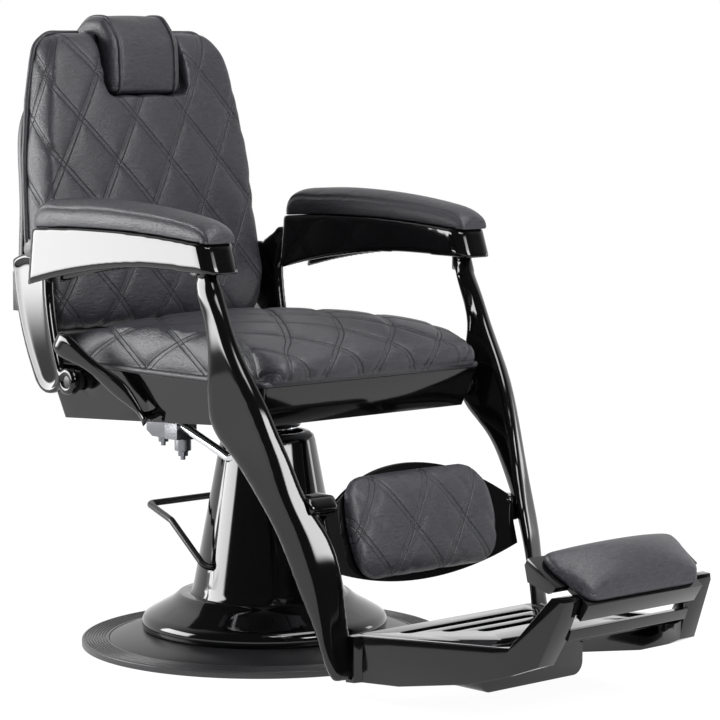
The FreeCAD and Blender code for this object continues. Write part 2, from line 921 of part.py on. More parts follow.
def guide_bores():
    radius = post_radius + guide_wall + soft_gap
    return [leaning_drum(radius, x, post_foot - 1, back_top + 20) for x in (-post_spread, post_spread)]


def headrest_guides():
    sleeves = []
    for x in (-post_spread, post_spread):
        sleeve = leaning_drum(post_radius + guide_wall, x, post_foot, back_top - 12)
        sleeves.append(sleeve.cut(leaning_drum(post_radius + running_fit, x, post_foot + 6, back_top)))
    return group(sleeves)


def back_shell():
    slices = []
    for z, narrow, thick in (
        (shell_bottom, 12, 12), (shell_bottom + 30, 2, shell_thick), (760, 0, shell_thick),
        (shell_top - 30, 2, shell_thick), (shell_top, 14, 14),
    ):
        half = back_outline_half(z) - narrow
        rear = back_y(z)

        def place(x, h, z=z, rear=rear):
            return Vector(x, rear + soft_gap + h, z)
        slices.append(pad_section(place, half, 0, thick * 0.7, thick, 1, 16))
    return loft(slices).cut(beside_parting(soft_gap, -200))


def back_piping(radius):
    stops = (back_bottom + 14, back_bottom + 60, 720, 860, 960, 1030)
    side = [(back_outline_half(z) + 6, z) for z in stops]
    side += [(202, 1060), (172, back_top + 2), (recess_half + 8, back_top + 2)]
    left = [Vector(x, back_y(z) - 16, z) for x, z in side]
    right = [Vector(-spot.x, spot.y, spot.z) for spot in reversed(left)]
    return [rod(left, radius, 40.0), rod(right, radius, 40.0)]


# Headrest: a soft saddle over the top of the back

def headrest_pad():
    deep = back_y(recess_bottom) - back_thick + recess_depth - head_gap - soft_gap
    front = deep - recess_depth - 4
    rise = head_top - head_bottom
    over = back_top + 3 - head_bottom
    rear = back_y(head_bottom) + 6
    tail = rear + head_wrap

    def lift(y, height):
        return (y + back_lean * height, head_bottom + height)
    points = [
        lift(front + 6, 0), lift(deep, 0), lift(deep, over), lift(rear, over), lift(rear, over - head_rear_drop),
        lift(tail, over - head_rear_drop), lift(tail, over + 4), lift(rear - 14, rise), lift(front + 30, rise),
        lift(front, rise - 44),
    ]
    slices = []
    for x, shrink in ((-head_half, 7), (-head_half + 8, 1), (head_half - 8, 1), (head_half, 7)):
        slices.append(shrunk_outline(points, shrink, x))
    return loft(slices, True).cut([leaning_drum(post_radius + seat_fit, x, post_foot, post_top) for x in post_sides])


def shrunk_outline(points, shrink, x):
    flat = rounded(points, 11.0, on_side(x))
    if shrink == 0:
        return flat
    return flat.makeOffset2D(-shrink, 0, False, False, False)


def headrest_posts():
    return group([leaning_drum(post_radius, x, post_foot + 8, post_top) for x in post_sides])


# Legs, made at +X as a loft of four-cornered slices: inner front, outer front, outer rear, inner rear

leg_pin_reach = 290.0
leg_rows = (
    (672, (282, -219), (307, -213), (311, -178), (283, -188)),
    (620, (285, -245), (309, -238), (312, -192), (284, -206)),
    (572, (286, -268), (309, -260), (312, -204), (280, -226)),
    (520, (281, -299), (306, -290), (312, -206), (270, -228)),
    (472, (273, -327), (301, -318), (310, -205), (266, -219)),
    (430, (266, -346), (297, -336), (308, -214), (262, -236)),
    (385, (256, -366), (291, -354), (304, -252), (259, -292)),
    (324, (242, -390), (284, -376), (298, -305), (249, -346)),
    (259, (218, -426), (272, -406), (289, -343), (227, -400)),
    (214, (214, -441), (268, -421), (282, -362), (221, -422)),
    (161, (214, -450), (264, -433), (274, -386), (218, -438)),
    (103, (213, -458), (261, -447), (266, -418), (217, -448)),
    (56, (212, -464), (258, -458), (261, -440), (215, -454)),
    (34, (212, -468), (250, -464), (252, -452), (214, -458)),
)


def leg():
    slices = []
    for z, *corners in leg_rows:
        slices.append(rounded(corners, leg_round, on_level(z)))
    blade = loft(slices)
    eye = drum_x(leg_eye, 282, 310, arm_front_y, arm_front_pin_z)
    neck = side_prism([
        (arm_front_y - leg_eye, arm_front_pin_z), (arm_front_y + leg_eye, arm_front_pin_z), (-181, 660), (-220, 660),
    ], 285, 308)
    pivot = drum_x(pin_radius + running_fit, 200, leg_pin_reach + 1, leg_pivot_y, leg_pivot_z)
    top_pin = drum_x(arm_pin, 300, bar_inner + bar_thick, arm_front_y, arm_front_pin_z)
    return blade.fuse([eye, neck, top_pin]).cut(pivot).removeSplitter()


# Footrest

def platform_top(y):
    return platform_z + (platform_rear - y) * platform_rise


def footrest_platform():
    rear_half = side_outer_rear - side_wall - seat_fit
    bend_half = side_outer_bend - side_wall - seat_fit
    front_half = bend_half - 12

    def place(x, y):
        return Vector(x, y, platform_top(y))
    half = [(rear_half, platform_rear), (bend_half, platform_bend), (front_half, platform_front)]
    outline = half + [(-x, y) for x, y in reversed(half)]
    plate = prism(closed(outline, place), Vector(0, 0, -platform_thick))
    slots = []
    for length, y in zip(slot_halves, slot_rows):
        near = y - slot_width / 2
        far = y + slot_width / 2
        row = [(-length, near), (length, near), (length, far), (-length, far)]
        slots.append(prism(rounded(row, slot_width * 0.4, on_level(0)), Vector(0, 0, 300)))
    return plate.cut(slots)


def side_profile():
    return [
        (platform_rear, 28), (-563, 36), (-722, 64), (-800, 88), (-846, 106), (side_front, side_top - 10),
        (side_front + 2, side_top), (side_front + 22, side_top), (-797, 131),
        (platform_rear, platform_top(platform_rear)),
    ]


def footrest_side():
    tall = side_prism(side_profile(), 100, 240)
    plan = [
        (side_outer_rear - side_wall, platform_rear), (side_outer_rear + 12, platform_rear),
        (side_outer_rear + 12, platform_rear - 20), (side_outer_rear, platform_rear - 26),
        (side_outer_bend, platform_bend), (side_outer_front, side_front), (side_inner_front, side_front),
        (side_inner_front, side_front + 26), (side_outer_bend - side_wall, platform_bend),
    ]
    cheek = tall.common(prism(closed(plan, on_level(0)), Vector(0, 0, 300)))
    hole = drum_x(flip_pin + running_fit, 100, side_outer_front - 8, flip_y, flip_z)
    return cheek.cut([hole, left_leg])


def front_rail():
    half = side_inner_front - seat_fit
    return side_prism([
        (side_front + 17, 162), (side_front + 24, 144), (side_front + 38, 144), (side_front + 31, 162),
    ], -half, half)


def footrest_skid():
    top = [(y, platform_top(y) - platform_thick) for y in (skid_rear, skid_front)]
    points = [(-skid_half, skid_bottom), (skid_half, skid_bottom), (skid_half, 130), (-skid_half, 130)]
    block = prism(rounded(points, 22.0, on_front(skid_front)), Vector(0, skid_rear - skid_front, 0))
    side = side_prism([(skid_front, 0), (skid_rear, 0)] + top, -skid_half, skid_half)
    return block.common(side)


# Flip-over foot pad, tilted back from its pin

flip_turn = math.radians(flip_tilt)
flip_along = Vector(0, math.cos(flip_turn), math.sin(flip_turn))
flip_up = Vector(0, -math.sin(flip_turn), math.cos(flip_turn))


def flip_spot(x, along, up):
    return Vector(x, flip_y, flip_z) + flip_along * along + flip_up * up


flip_front = -22.0
flip_step = 26.0


def flip_half(along):
    return flip_half_front if along < flip_step else flip_half_rear


def flip_tray():
    outline = [
        (-flip_half_front, flip_front), (flip_half_front, flip_front), (flip_half_front, flip_step),
        (flip_half_rear, flip_step), (flip_half_rear, flip_length), (-flip_half_rear, flip_length),
        (-flip_half_rear, flip_step), (-flip_half_front, flip_step),
    ]
    base = flip_deck
    plate = prism(closed(outline, lambda x, t: flip_spot(x, t, base)), flip_up * flip_plate)
    cheek = [
        (flip_step, base + flip_plate), (flip_length, base + flip_plate), (flip_length, base - 4),
        (flip_length - 20, base - flip_cheek + 8), (flip_step + 6, base - 8),
    ]
    cheeks = []
    for x in (-flip_half_rear, flip_half_rear - 7):
        cheeks.append(prism(closed(cheek, lambda t, u, x=x: flip_spot(x, t, u)), Vector(7, 0, 0)))
    hub = drum_x(base + 4, -flip_half_front, flip_half_front, flip_y, flip_z)
    lip = [(flip_front, base + 2), (flip_front, -12), (flip_front + 11, -12), (flip_front + 11, base + 2)]
    lip = prism(closed(lip, lambda t, u: flip_spot(-flip_half_front, t, u)), Vector(2 * flip_half_front, 0, 0))
    ribs = []
    for row in (10, 34, 58, 82):
        rib = [(row, base), (row + 8, base), (row + 8, base - 4), (row, base - 4)]
        half = flip_half_front - 8
        ribs.append(prism(closed(rib, lambda t, u: flip_spot(-half, t, u)), Vector(2 * half, 0, 0)))
    tray = plate.fuse(cheeks + [hub, lip] + ribs).removeSplitter()
    return tray.cut(drum_x(flip_pin, -400, 400, flip_y, flip_z))


def flip_pad():
    # A plan with drawn-in ends, domed along the pad and across it.
    deck = flip_deck + flip_plate + soft_gap
    start = flip_front + 4
    end = flip_length - 1
    wide = flip_half_rear - 15
    narrow = flip_half_front - 7
    plan = [(-narrow, start), (narrow, start), (wide, 58), (wide - 4, end), (4 - wide, end), (-wide, 58)]
    upward = flip_spot(0, 0, 60) - flip_spot(0, 0, 0)
    across = Vector(2 * flip_half_rear, 0, 0)

    def on_deck(x, along):
        return flip_spot(x, along, deck)

    def beside(along, up):
        return flip_spot(-flip_half_rear, along, deck + up)

    def behind(x, up):
        return flip_spot(x, flip_front - 20, deck + up)
    low = flip_pad_thick / 2
    dome = Part.Wire([
        line_on((start, 0), (end, 0), beside), line_on((end, 0), (end, low), beside),
        arc_on(((end, low), (44, flip_pad_crown + 4), (start, low)), beside), line_on((start, low), (start, 0), beside),
    ])
    crown = Part.Wire([
        line_on((-wide, 0), (wide, 0), behind), line_on((wide, 0), (wide, flip_pad_thick), behind),
        arc_on(((wide, flip_pad_thick), (0, flip_pad_crown + 4), (-wide, flip_pad_thick)), behind),
        line_on((-wide, flip_pad_thick), (-wide, 0), behind),
    ])
    length = flip_spot(0, flip_length + 20, 0) - flip_spot(0, flip_front - 20, 0)
    solid = prism(rounded(plan, 26.0, on_deck), upward)
    return solid.common(prism(dome, across)).common(prism(crown, length))


def flip_pins():
    pin = drum_x(flip_pin, flip_half_front - 20, side_outer_front - 9, flip_y, flip_z)
    return group([pin, mirrored(pin)])


# Calf rest, a bowed plate between the legs

def calf_front(x, z, forward):
    bow = calf_bow * (1 - (x / calf_half) ** 2)
    return Vector(x, calf_y + bow - calf_bow - forward + calf_lean * (z - calf_z), z)


def calf_plate():
    def bowed(forward, z):
        ends = [calf_front(x, z, forward) for x in (-calf_half, 0, calf_half)]
        return Part.Arc(*ends).toShape()

    def slab(z):
        front = bowed(calf_thick, z)
        rear = bowed(0, z)
        tips = [edge.Vertexes for edge in (front, rear)]
        links = [Part.LineSegment(tips[0][1].Point, tips[1][1].Point).toShape()]
        links.append(Part.LineSegment(tips[1][0].Point, tips[0][0].Point).toShape())
        return Part.Wire(Part.__sortEdges__([front, links[0], rear, links[1]]))
    sheet = loft([slab(140), slab(370)], True)
    mask = Part.Wire([
        arc_on(((-calf_half, 204), (0, 166), (calf_half, 204)), on_front(-700)),
        line_on((calf_half, 204), (calf_half, 286), on_front(-700)),
        arc_on(((calf_half, 286), (0, 357), (-calf_half, 286)), on_front(-700)),
        line_on((-calf_half, 286), (-calf_half, 204), on_front(-700)),
    ])
    return sheet.common(prism(mask, Vector(0, 700, 0)))


def calf_pad():
    slices = []
    for z, half, rise, crown in (
        (180, 116, 6, 3), (186, 138, 13, 8), (202, 155, 20, calf_pad_crown),
        (230, 163, calf_pad_thick, calf_pad_crown), (264, calf_pad_half, calf_pad_thick, calf_pad_crown),
        (298, 163, calf_pad_thick, calf_pad_crown), (326, 154, 20, calf_pad_crown), (341, 137, 13, 8),
        (347, 116, 6, 3),
    ):
        sag = calf_bow * (half / calf_half) ** 2

        def place(x, h, z=z, half=half):
            edge = calf_front(half, z, calf_thick + soft_gap)
            return Vector(x, edge.y - h, z)
        slices.append(pad_section(place, half, 0, rise, rise + crown - sag * 0.5, 1.5, 12, sag))
    solid = loft(slices)
    lattice = quilt_walls(on_front(-520), Vector(0, 1, 0), 200, calf_pad_half, 130, 380, 0, 160)
    return quilted(solid, lattice, Vector(0, 1, 0))


def calf_lug(points, inner):
    # Block between the end of the calf plate and a leg.
    lug = side_prism(points, inner, 252, 6.0)
    lug = lug.cut([left_leg, calf_plate()])
    return max(lug.Solids, key=lambda piece: piece.Volume)


os.makedirs("parts", exist_ok=True)

save("rubber_ring", rubber_ring())
save("base_plate", base_plate())
save("column_flange", column_flange())
save("front_cover", front_cover())
save("rear_cover", rear_cover())
save("hydraulic_cylinder", hydraulic_cylinder())
save("cylinder_gland", cylinder_gland())
save("cylinder_bolts", cylinder_bolts())
save("pump_block", pump_block())
save("pump_pedal", pump_pedal())
save("pedal_hubs", pedal_hubs())
save("lift_ram", lift_ram())
save("ram_collar", ram_collar())
save("mechanism_casting", mechanism_casting())
save("lock_bracket", lock_bracket())
save("mechanism_bolts", mechanism_bolts())
save("lock_tube", lock_tube())
save("seat_pan", seat_pan())
save("seat_board", seat_board())
save("seat_cushion", seat_cushion())
save("seat_piping", seat_piping(piping))
save("recline_pins", pan_pins(recline_y, recline_z, leaf_inner + leaf_thick - 3))
save("leg_pins", pan_pins(leg_pivot_y, leg_pivot_z, leg_pin_reach))
save("recline_lever", recline_lever())
save_pair("arm_shell", arm_shell())
save_pair("arm_pad", arm_pad())
save_pair("arm_bar", arm_bar())
save_pair("leaf_bracket", leaf_bracket())
save("back_rail", back_rail())
save_pair("back_strap", back_strap())
save("back_shell", back_shell())
save("back_cushion", back_cushion())
save("back_piping", group(back_piping(piping)))
save("headrest_guides", headrest_guides())
save("headrest_pad", headrest_pad())
save("headrest_posts", headrest_posts())
left_leg = leg()
save_pair("leg", left_leg)
save("footrest_platform", footrest_platform())
save_pair("footrest_side", footrest_side())
save("front_rail", front_rail())
save("footrest_skid", footrest_skid())
save("flip_tray", flip_tray())
save("flip_pad", flip_pad())
save("flip_pins", flip_pins())
save("calf_plate", calf_plate())
save("calf_pad", calf_pad())
save("calf_lug_left", calf_lug([(-346, 282), (-398, 282), (-404, 240), (-352, 240)], calf_half - 10))
save("calf_lug_right", mirrored(calf_lug([(-352, 328), (-394, 326), (-408, 306), (-366, 270)], calf_half - 24)))
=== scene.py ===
import bmesh
import bpy
import json
import math
import numpy as np
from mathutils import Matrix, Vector


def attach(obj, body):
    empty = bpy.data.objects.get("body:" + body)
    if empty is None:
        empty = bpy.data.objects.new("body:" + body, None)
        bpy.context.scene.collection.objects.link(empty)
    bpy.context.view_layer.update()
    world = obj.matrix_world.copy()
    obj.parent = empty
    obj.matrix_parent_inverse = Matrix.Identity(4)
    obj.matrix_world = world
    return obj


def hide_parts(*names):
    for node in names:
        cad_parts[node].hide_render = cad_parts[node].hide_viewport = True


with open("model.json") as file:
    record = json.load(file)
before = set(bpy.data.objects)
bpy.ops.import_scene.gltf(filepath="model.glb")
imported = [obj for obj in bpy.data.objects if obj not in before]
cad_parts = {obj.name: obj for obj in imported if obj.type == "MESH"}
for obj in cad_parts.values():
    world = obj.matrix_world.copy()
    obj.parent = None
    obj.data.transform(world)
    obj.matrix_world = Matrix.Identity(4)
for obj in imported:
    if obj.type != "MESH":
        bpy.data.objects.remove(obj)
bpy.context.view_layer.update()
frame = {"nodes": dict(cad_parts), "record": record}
scene = bpy.context.scene
scene.view_settings.view_transform = "Standard"
bodyOf = {node: body for body, members in frame["record"]["behaviour"]["bodies"].items() for node in members}
print("frame loaded:", len(frame["nodes"]), "nodes")


# small helpers

def hexColour(code):  # sRGB hex to the linear colour a shader takes
    parts = [int(code[i:i + 2], 16) / 255 for i in (1, 3, 5)]
    return [c / 12.92 if c <= 0.04045 else ((c + 0.055) / 1.055) ** 2.4 for c in parts] + [1.0]


def scaleOf(size):  # texture scale for a pattern of this size in mm
    return 1000 / size


def setInputs(tree, node, inputs):  # a socket is linked, a node by its first output, the rest are values
    for key, value in inputs.items():
        if isinstance(value, bpy.types.Node):
            value = value.outputs[0]
        if isinstance(value, bpy.types.NodeSocket):
            tree.links.new(value, node.inputs[key])
        else:
            node.inputs[key].default_value = value


def addNode(tree, kind, inputs=None, **settings):  # one node with its settings and links
    node = tree.nodes.new(kind)
    for key, value in settings.items():
        setattr(node, key, value)
    setInputs(tree, node, inputs or {})
    return node


def startMaterial(name, colour, roughness, metallic=0.0, ior=1.5):
    material = bpy.data.materials.new(name)
    material.use_nodes = True
    tree = material.node_tree
    shader = tree.nodes["Principled BSDF"]
    setInputs(tree, shader, {"Base Color": hexColour(colour), "Roughness": roughness,
                             "Metallic": metallic, "IOR": ior})
    place = addNode(tree, "ShaderNodeTexCoord").outputs["Object"]
    return material, tree, shader, place


def linkObject(name, data):
    piece = bpy.data.objects.new(name, data)
    scene.collection.objects.link(piece)
    return piece


def evaluatedMesh(piece):
    bpy.context.view_layer.update()
    graph = bpy.context.evaluated_depsgraph_get()
    return bpy.data.meshes.new_from_object(piece.evaluated_get(graph), depsgraph=graph)


def bakeModifiers(piece):  # the modifiers' result becomes the plain mesh
    mesh = evaluatedMesh(piece)
    old = piece.data
    piece.modifiers.clear()
    piece.data = mesh
    bpy.data.meshes.remove(old)
    return piece


def paint(piece, material):
    piece.data.materials.clear()
    piece.data.materials.append(material)


def settle(piece, body, slot, *nodes):  # onto its body, in place of its solids
    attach(piece, body)
    if nodes:
        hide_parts(*nodes)


def coordsOf(mesh):
    co = np.empty(len(mesh.vertices) * 3)
    mesh.vertices.foreach_get("co", co)
    return co.reshape(-1, 3)


def setCoords(mesh, co):
    mesh.vertices.foreach_set("co", co.reshape(-1))
    mesh.update()


def normalsOf(mesh):
    normal = np.empty(len(mesh.vertices) * 3)
    mesh.vertex_normals.foreach_get("vector", normal)
    return normal.reshape(-1, 3)


def editMesh(mesh, change):
    work = bmesh.new()
    work.from_mesh(mesh)
    change(work)
    work.to_mesh(mesh)
    work.free()


def mergedCopy(node):  # a node's loose triangles joined into a closed mesh
    mesh = frame["nodes"][node].data.copy()
    mesh.name = node + "Mesh"
    editMesh(mesh, lambda work: bmesh.ops.remove_doubles(work, verts=work.verts, dist=2e-5))
    mesh.shade_smooth()
    return mesh


def voxelSkin(piece, voxel):  # one closed skin of even faces
    remesh = piece.modifiers.new("skin", "REMESH")
    remesh.mode = "VOXEL"
    remesh.voxel_size = voxel
    return bakeModifiers(piece)


def roundOver(piece, passes):
    smooth = piece.modifiers.new("rounded", "SMOOTH")
    smooth.factor = 0.5
    smooth.iterations = passes
    return bakeModifiers(piece)


# finishes: pattern sizes in mm, bump distances in metres

def makeLeather():
    # bovine leather, dyed charcoal and embossed: low sheen, fine pebbles and short creases across the hide
    hide = {"pebble": 2.0, "crease": 6.0, "blotch": 111.0, "dark": "#222226", "light": "#34343a"}
    material, tree, shader, place = startMaterial("grainedLeather", "#2b2b30", 0.45, ior=1.52)
    stretch = addNode(tree, "ShaderNodeMapping", {"Vector": place, "Scale": (0.45, 0.9, 1.5)})
    crease = addNode(tree, "ShaderNodeTexNoise", {"Vector": stretch, "Scale": scaleOf(hide["crease"]),
                                                  "Detail": 3.0, "Roughness": 0.62, "Distortion": 0.5})
    pebble = addNode(tree, "ShaderNodeTexVoronoi", {"Vector": stretch, "Scale": scaleOf(hide["pebble"])})
    blotch = addNode(tree, "ShaderNodeTexNoise", {"Vector": place, "Scale": scaleOf(hide["blotch"]),
                                                  "Detail": 1.0})
    grain = addNode(tree, "ShaderNodeMath", {0: pebble, 1: -0.35, 2: crease}, operation="MULTIPLY_ADD")
    depth = addNode(tree, "ShaderNodeMapRange", {"Value": grain, "From Min": 0.1, "From Max": 0.6})
    tone = addNode(tree, "ShaderNodeMix", {0: depth, 6: hexColour(hide["dark"]), 7: hexColour(hide["light"])},
                   data_type="RGBA")
    sheen = addNode(tree, "ShaderNodeMapRange", {"Value": blotch, "To Min": 0.4, "To Max": 0.5})
    bump = addNode(tree, "ShaderNodeBump", {"Height": grain, "Distance": 0.0012, "Strength": 0.8})
    setInputs(tree, shader, {"Base Color": tone.outputs[2], "Roughness": sheen, "Normal": bump})
    return material


def makeQuiltLeather(plain):
    # the same leather where it is quilted: a row of needle dents on each side of every sewn line, bumped in
    # and darkened with painted shade
    # dark: the colour of the painted shade laid into the dent rows
    quilt = {"spacing": 96.0, "row": 4.6, "width": 1.5, "dark": "#151517"}
    material = plain.copy()
    material.name = "quiltedLeather"
    tree = material.node_tree
    shader = tree.nodes["Principled BSDF"]
    grain = shader.inputs["Normal"].links[0].from_socket
    tone = shader.inputs["Base Color"].links[0].from_socket
    lattice = addNode(tree, "ShaderNodeUVMap", uv_map="quiltMap")
    spot = addNode(tree, "ShaderNodeSeparateXYZ", {"Vector": lattice})
    dents = []
    for axis in ("X", "Y"):
        turn = addNode(tree, "ShaderNodeMath", {0: spot.outputs[axis], 1: 0.5}, operation="PINGPONG")
        away = addNode(tree, "ShaderNodeMath", {0: turn, 1: quilt["spacing"], 2: -quilt["row"]},
                       operation="MULTIPLY_ADD")
        near = addNode(tree, "ShaderNodeMath", {0: away}, operation="ABSOLUTE")
        dents.append(addNode(tree, "ShaderNodeMapRange", {"Value": near, "From Max": quilt["width"],
                                                          "To Min": 1.0, "To Max": 0.0},
                             interpolation_type="SMOOTHSTEP"))
    dent = addNode(tree, "ShaderNodeMath", {0: dents[0], 1: dents[1]}, operation="MAXIMUM")
    height = addNode(tree, "ShaderNodeMath", {0: 1.0, 1: dent}, operation="SUBTRACT")
    bump = addNode(tree, "ShaderNodeBump", {"Height": height, "Distance": 0.0012, "Strength": 0.8,
                                            "Normal": grain})
    # painted shade: the dent rows are mixed toward the dark colour, as if the grooves were in shadow
    share = addNode(tree, "ShaderNodeMapRange", {"Value": dent, "To Max": 0.4})
    shade = addNode(tree, "ShaderNodeMix", {0: share, 6: tone, 7: hexColour(quilt["dark"])}, data_type="RGBA")
    setInputs(tree, shader, {"Base Color": shade.outputs[2], "Normal": bump})
    return material


def makeGlossPaint():
    # stoved black enamel: deep black with mirror reflections and a trace of orange peel
    material, tree, shader, place = startMaterial("glossBlackEnamel", "#060607", 0.06, ior=1.52)
    peel = addNode(tree, "ShaderNodeTexNoise", {"Vector": place, "Scale": scaleOf(9.0), "Detail": 1.0})
    film = addNode(tree, "ShaderNodeTexNoise", {"Vector": place, "Scale": scaleOf(111.0), "Detail": 3.0})
    sheen = addNode(tree, "ShaderNodeMapRange", {"Value": film, "To Min": 0.04, "To Max": 0.1})
    bump = addNode(tree, "ShaderNodeBump", {"Height": peel, "Distance": 0.0001, "Strength": 0.06})
    setInputs(tree, shader, {"Roughness": sheen, "Normal": bump})
    return material


def makeSatinPaint():
    # black powder coat: even fine texture that breaks reflections into a soft sheen
    material, tree, shader, place = startMaterial("satinPowderCoat", "#1b1b1d", 0.34, ior=1.52)
    grit = addNode(tree, "ShaderNodeTexNoise", {"Vector": place, "Scale": scaleOf(1.8), "Detail": 2.0})
    sheen = addNode(tree, "ShaderNodeMapRange", {"Value": grit, "To Min": 0.28, "To Max": 0.42})
    bump = addNode(tree, "ShaderNodeBump", {"Height": grit, "Distance": 0.0003, "Strength": 0.25})
    setInputs(tree, shader, {"Roughness": sheen, "Normal": bump})
    return material


def makeRubber():
    # moulded black rubber: satin charcoal with a little dust in its texture
    material, tree, shader, place = startMaterial("mouldedRubber", "#1f1f21", 0.4, ior=1.6)
    dust = addNode(tree, "ShaderNodeTexNoise", {"Vector": place, "Scale": scaleOf(5.0), "Detail": 5.0})
    tone = addNode(tree, "ShaderNodeMix", {0: dust, 6: hexColour("#1e1e20"), 7: hexColour("#2c2c2f")},
                   data_type="RGBA")
    sheen = addNode(tree, "ShaderNodeMapRange", {"Value": dust, "To Min": 0.3, "To Max": 0.44})
    bump = addNode(tree, "ShaderNodeBump", {"Height": dust, "Distance": 0.0004, "Strength": 0.3})
    setInputs(tree, shader, {"Base Color": tone.outputs[2], "Roughness": sheen, "Normal": bump})
    return material


def makeChrome():
    # polished chrome plate: bright, faintly cool, with wiping marks
    material, tree, shader, place = startMaterial("polishedChrome", "#d9dadd", 0.07, metallic=1.0)
    wipe = addNode(tree, "ShaderNodeTexNoise", {"Vector": place, "Scale": scaleOf(16.67), "Detail": 6.0})
    sheen = addNode(tree, "ShaderNodeMapRange", {"Value": wipe, "To Min": 0.05, "To Max": 0.13})
    setInputs(tree, shader, {"Roughness": sheen})
    return material


def makeAluminium():
    # sand-cast aluminium, tumbled: mid grey, fine pits
    material, tree, shader, place = startMaterial("castAluminium", "#85868a", 0.3, metallic=1.0)
    pits = addNode(tree, "ShaderNodeTexNoise", {"Vector": place, "Scale": scaleOf(2.2), "Detail": 3.0})
    sheen = addNode(tree, "ShaderNodeMapRange", {"Value": pits, "To Min": 0.26, "To Max": 0.46})
    bump = addNode(tree, "ShaderNodeBump", {"Height": pits, "Distance": 0.0005, "Strength": 0.35})
    setInputs(tree, shader, {"Roughness": sheen, "Normal": bump})
    return material


def makeSteel():
    # zinc-plated steel, drawn and wiped: grey with fine lines across the chair
    material, tree, shader, place = startMaterial("platedSteel", "#808287", 0.28, metallic=1.0)
    stretch = addNode(tree, "ShaderNodeMapping", {"Vector": place, "Scale": (0.15, 1.0, 1.0)})
    lines = addNode(tree, "ShaderNodeTexNoise", {"Vector": stretch, "Scale": scaleOf(1.2), "Detail": 2.0})
    sheen = addNode(tree, "ShaderNodeMapRange", {"Value": lines, "To Min": 0.22, "To Max": 0.42})
    bump = addNode(tree, "ShaderNodeBump", {"Height": lines, "Distance": 0.0002, "Strength": 0.2})
    setInputs(tree, shader, {"Roughness": sheen, "Normal": bump})
    return material


def makePlastic():
    # moulded ABS, spark-eroded texture: dark grey, satin
    material, tree, shader, place = startMaterial("texturedAbs", "#2b2b2e", 0.42, ior=1.53)
    grain = addNode(tree, "ShaderNodeTexNoise", {"Vector": place, "Scale": scaleOf(1.6), "Detail": 2.0})
    sheen = addNode(tree, "ShaderNodeMapRange", {"Value": grain, "To Min": 0.36, "To Max": 0.5})
    bump = addNode(tree, "ShaderNodeBump", {"Height": grain, "Distance": 0.0003, "Strength": 0.3})
    setInputs(tree, shader, {"Roughness": sheen, "Normal": bump})
    return material


def makePlywood():
    # birch plywood, stained black before the cushion goes on: dull, with long grain
    material, tree, shader, place = startMaterial("stainedPlywood", "#211d1a", 0.6)
    stretch = addNode(tree, "ShaderNodeMapping", {"Vector": place, "Scale": (1.0, 0.06, 1.0)})
    grain = addNode(tree, "ShaderNodeTexNoise", {"Vector": stretch, "Scale": scaleOf(14.0), "Detail": 5.0})
    tone = addNode(tree, "ShaderNodeMix", {0: grain, 6: hexColour("#1a1715"), 7: hexColour("#2b2622")},
                   data_type="RGBA")
    setInputs(tree, shader, {"Base Color": tone.outputs[2]})
    return material


def makeThread():
    # waxed polyester sewing thread, black: twisted, with a dull sheen
    material, tree, shader, place = startMaterial("waxedThread", "#0c0c0d", 0.6)
    twist = addNode(tree, "ShaderNodeTexNoise", {"Vector": place, "Scale": scaleOf(0.9), "Detail": 1.0})
    sheen = addNode(tree, "ShaderNodeMapRange", {"Value": twist, "To Min": 0.55, "To Max": 0.75})
    setInputs(tree, shader, {"Roughness": sheen})
    return material


leather = makeLeather()
quiltLeather = makeQuiltLeather(leather)
glossPaint = makeGlossPaint()
satinPaint = makeSatinPaint()
rubber = makeRubber()
chrome = makeChrome()
aluminium = makeAluminium()
steel = makeSteel()
plastic = makePlastic()
plywood = makePlywood()
thread = makeThread()
print("finishes ready")


# rigid pieces: each solid's shape with its edges softened

rigid = {  # node: finish, slot, edge radius in mm
    "rubber_ring": (rubber, "rubber", 0.6),
    "base_plate": (satinPaint, "iron", 1.5),
    "column_flange": (glossPaint, "gloss_black", 2.5),
    "front_cover": (glossPaint, "gloss_black", 1.5),
    "rear_cover": (glossPaint, "gloss_black", 1.5),
    "hydraulic_cylinder": (steel, "steel", 1.0),
    "cylinder_gland": (steel, "steel", 1.0),
    "cylinder_bolts": (steel, "steel", 0.5),
    "pump_block": (satinPaint, "iron", 1.5),
    "pump_pedal": (satinPaint, "satin_black", 0.0),
    "pedal_hubs": (steel, "steel", 0.8),
    "lift_ram": (chrome, "chrome", 0.8),
    "ram_collar": (chrome, "chrome", 1.0),
    "mechanism_casting": (aluminium, "cast_aluminium", 2.0),
    "lock_bracket": (aluminium, "cast_aluminium", 1.5),
    "mechanism_bolts": (steel, "steel", 0.5),
    "lock_tube": (chrome, "chrome", 0.8),
    "seat_pan": (glossPaint, "gloss_black", 1.5),
    "seat_board": (plywood, "plywood", 1.0),
    "recline_pins": (satinPaint, "steel", 0.8),
    "leg_pins": (satinPaint, "steel", 0.8),
    "arm_bar_left": (satinPaint, "steel", 1.0),
    "arm_bar_right": (satinPaint, "steel", 1.0),
    "back_rail": (satinPaint, "steel", 1.0),
    "back_strap_left": (satinPaint, "steel", 1.0),
    "back_strap_right": (satinPaint, "steel", 1.0),
    "back_shell": (plastic, "dark_plastic", 2.0),
    "headrest_guides": (plastic, "dark_plastic", 0.5),
    "headrest_posts": (chrome, "chrome", 0.5),
    "footrest_platform": (glossPaint, "gloss_black_cast", 1.0),
    "footrest_side_left": (glossPaint, "gloss_black_cast", 2.0),
    "footrest_side_right": (glossPaint, "gloss_black_cast", 2.0),
    "front_rail": (glossPaint, "gloss_black_cast", 1.0),
    "footrest_skid": (glossPaint, "gloss_black_cast", 2.0),
    "calf_plate": (glossPaint, "gloss_black_cast", 1.0),
    "flip_tray": (glossPaint, "gloss_black_cast", 1.0),
    "flip_pins": (steel, "steel", 0.5),
}
edgeAngle = {"flat": 0.4, "bevel": 38, "sharp": 42}  # degrees: joined as flat, rounded, shaded as an edge


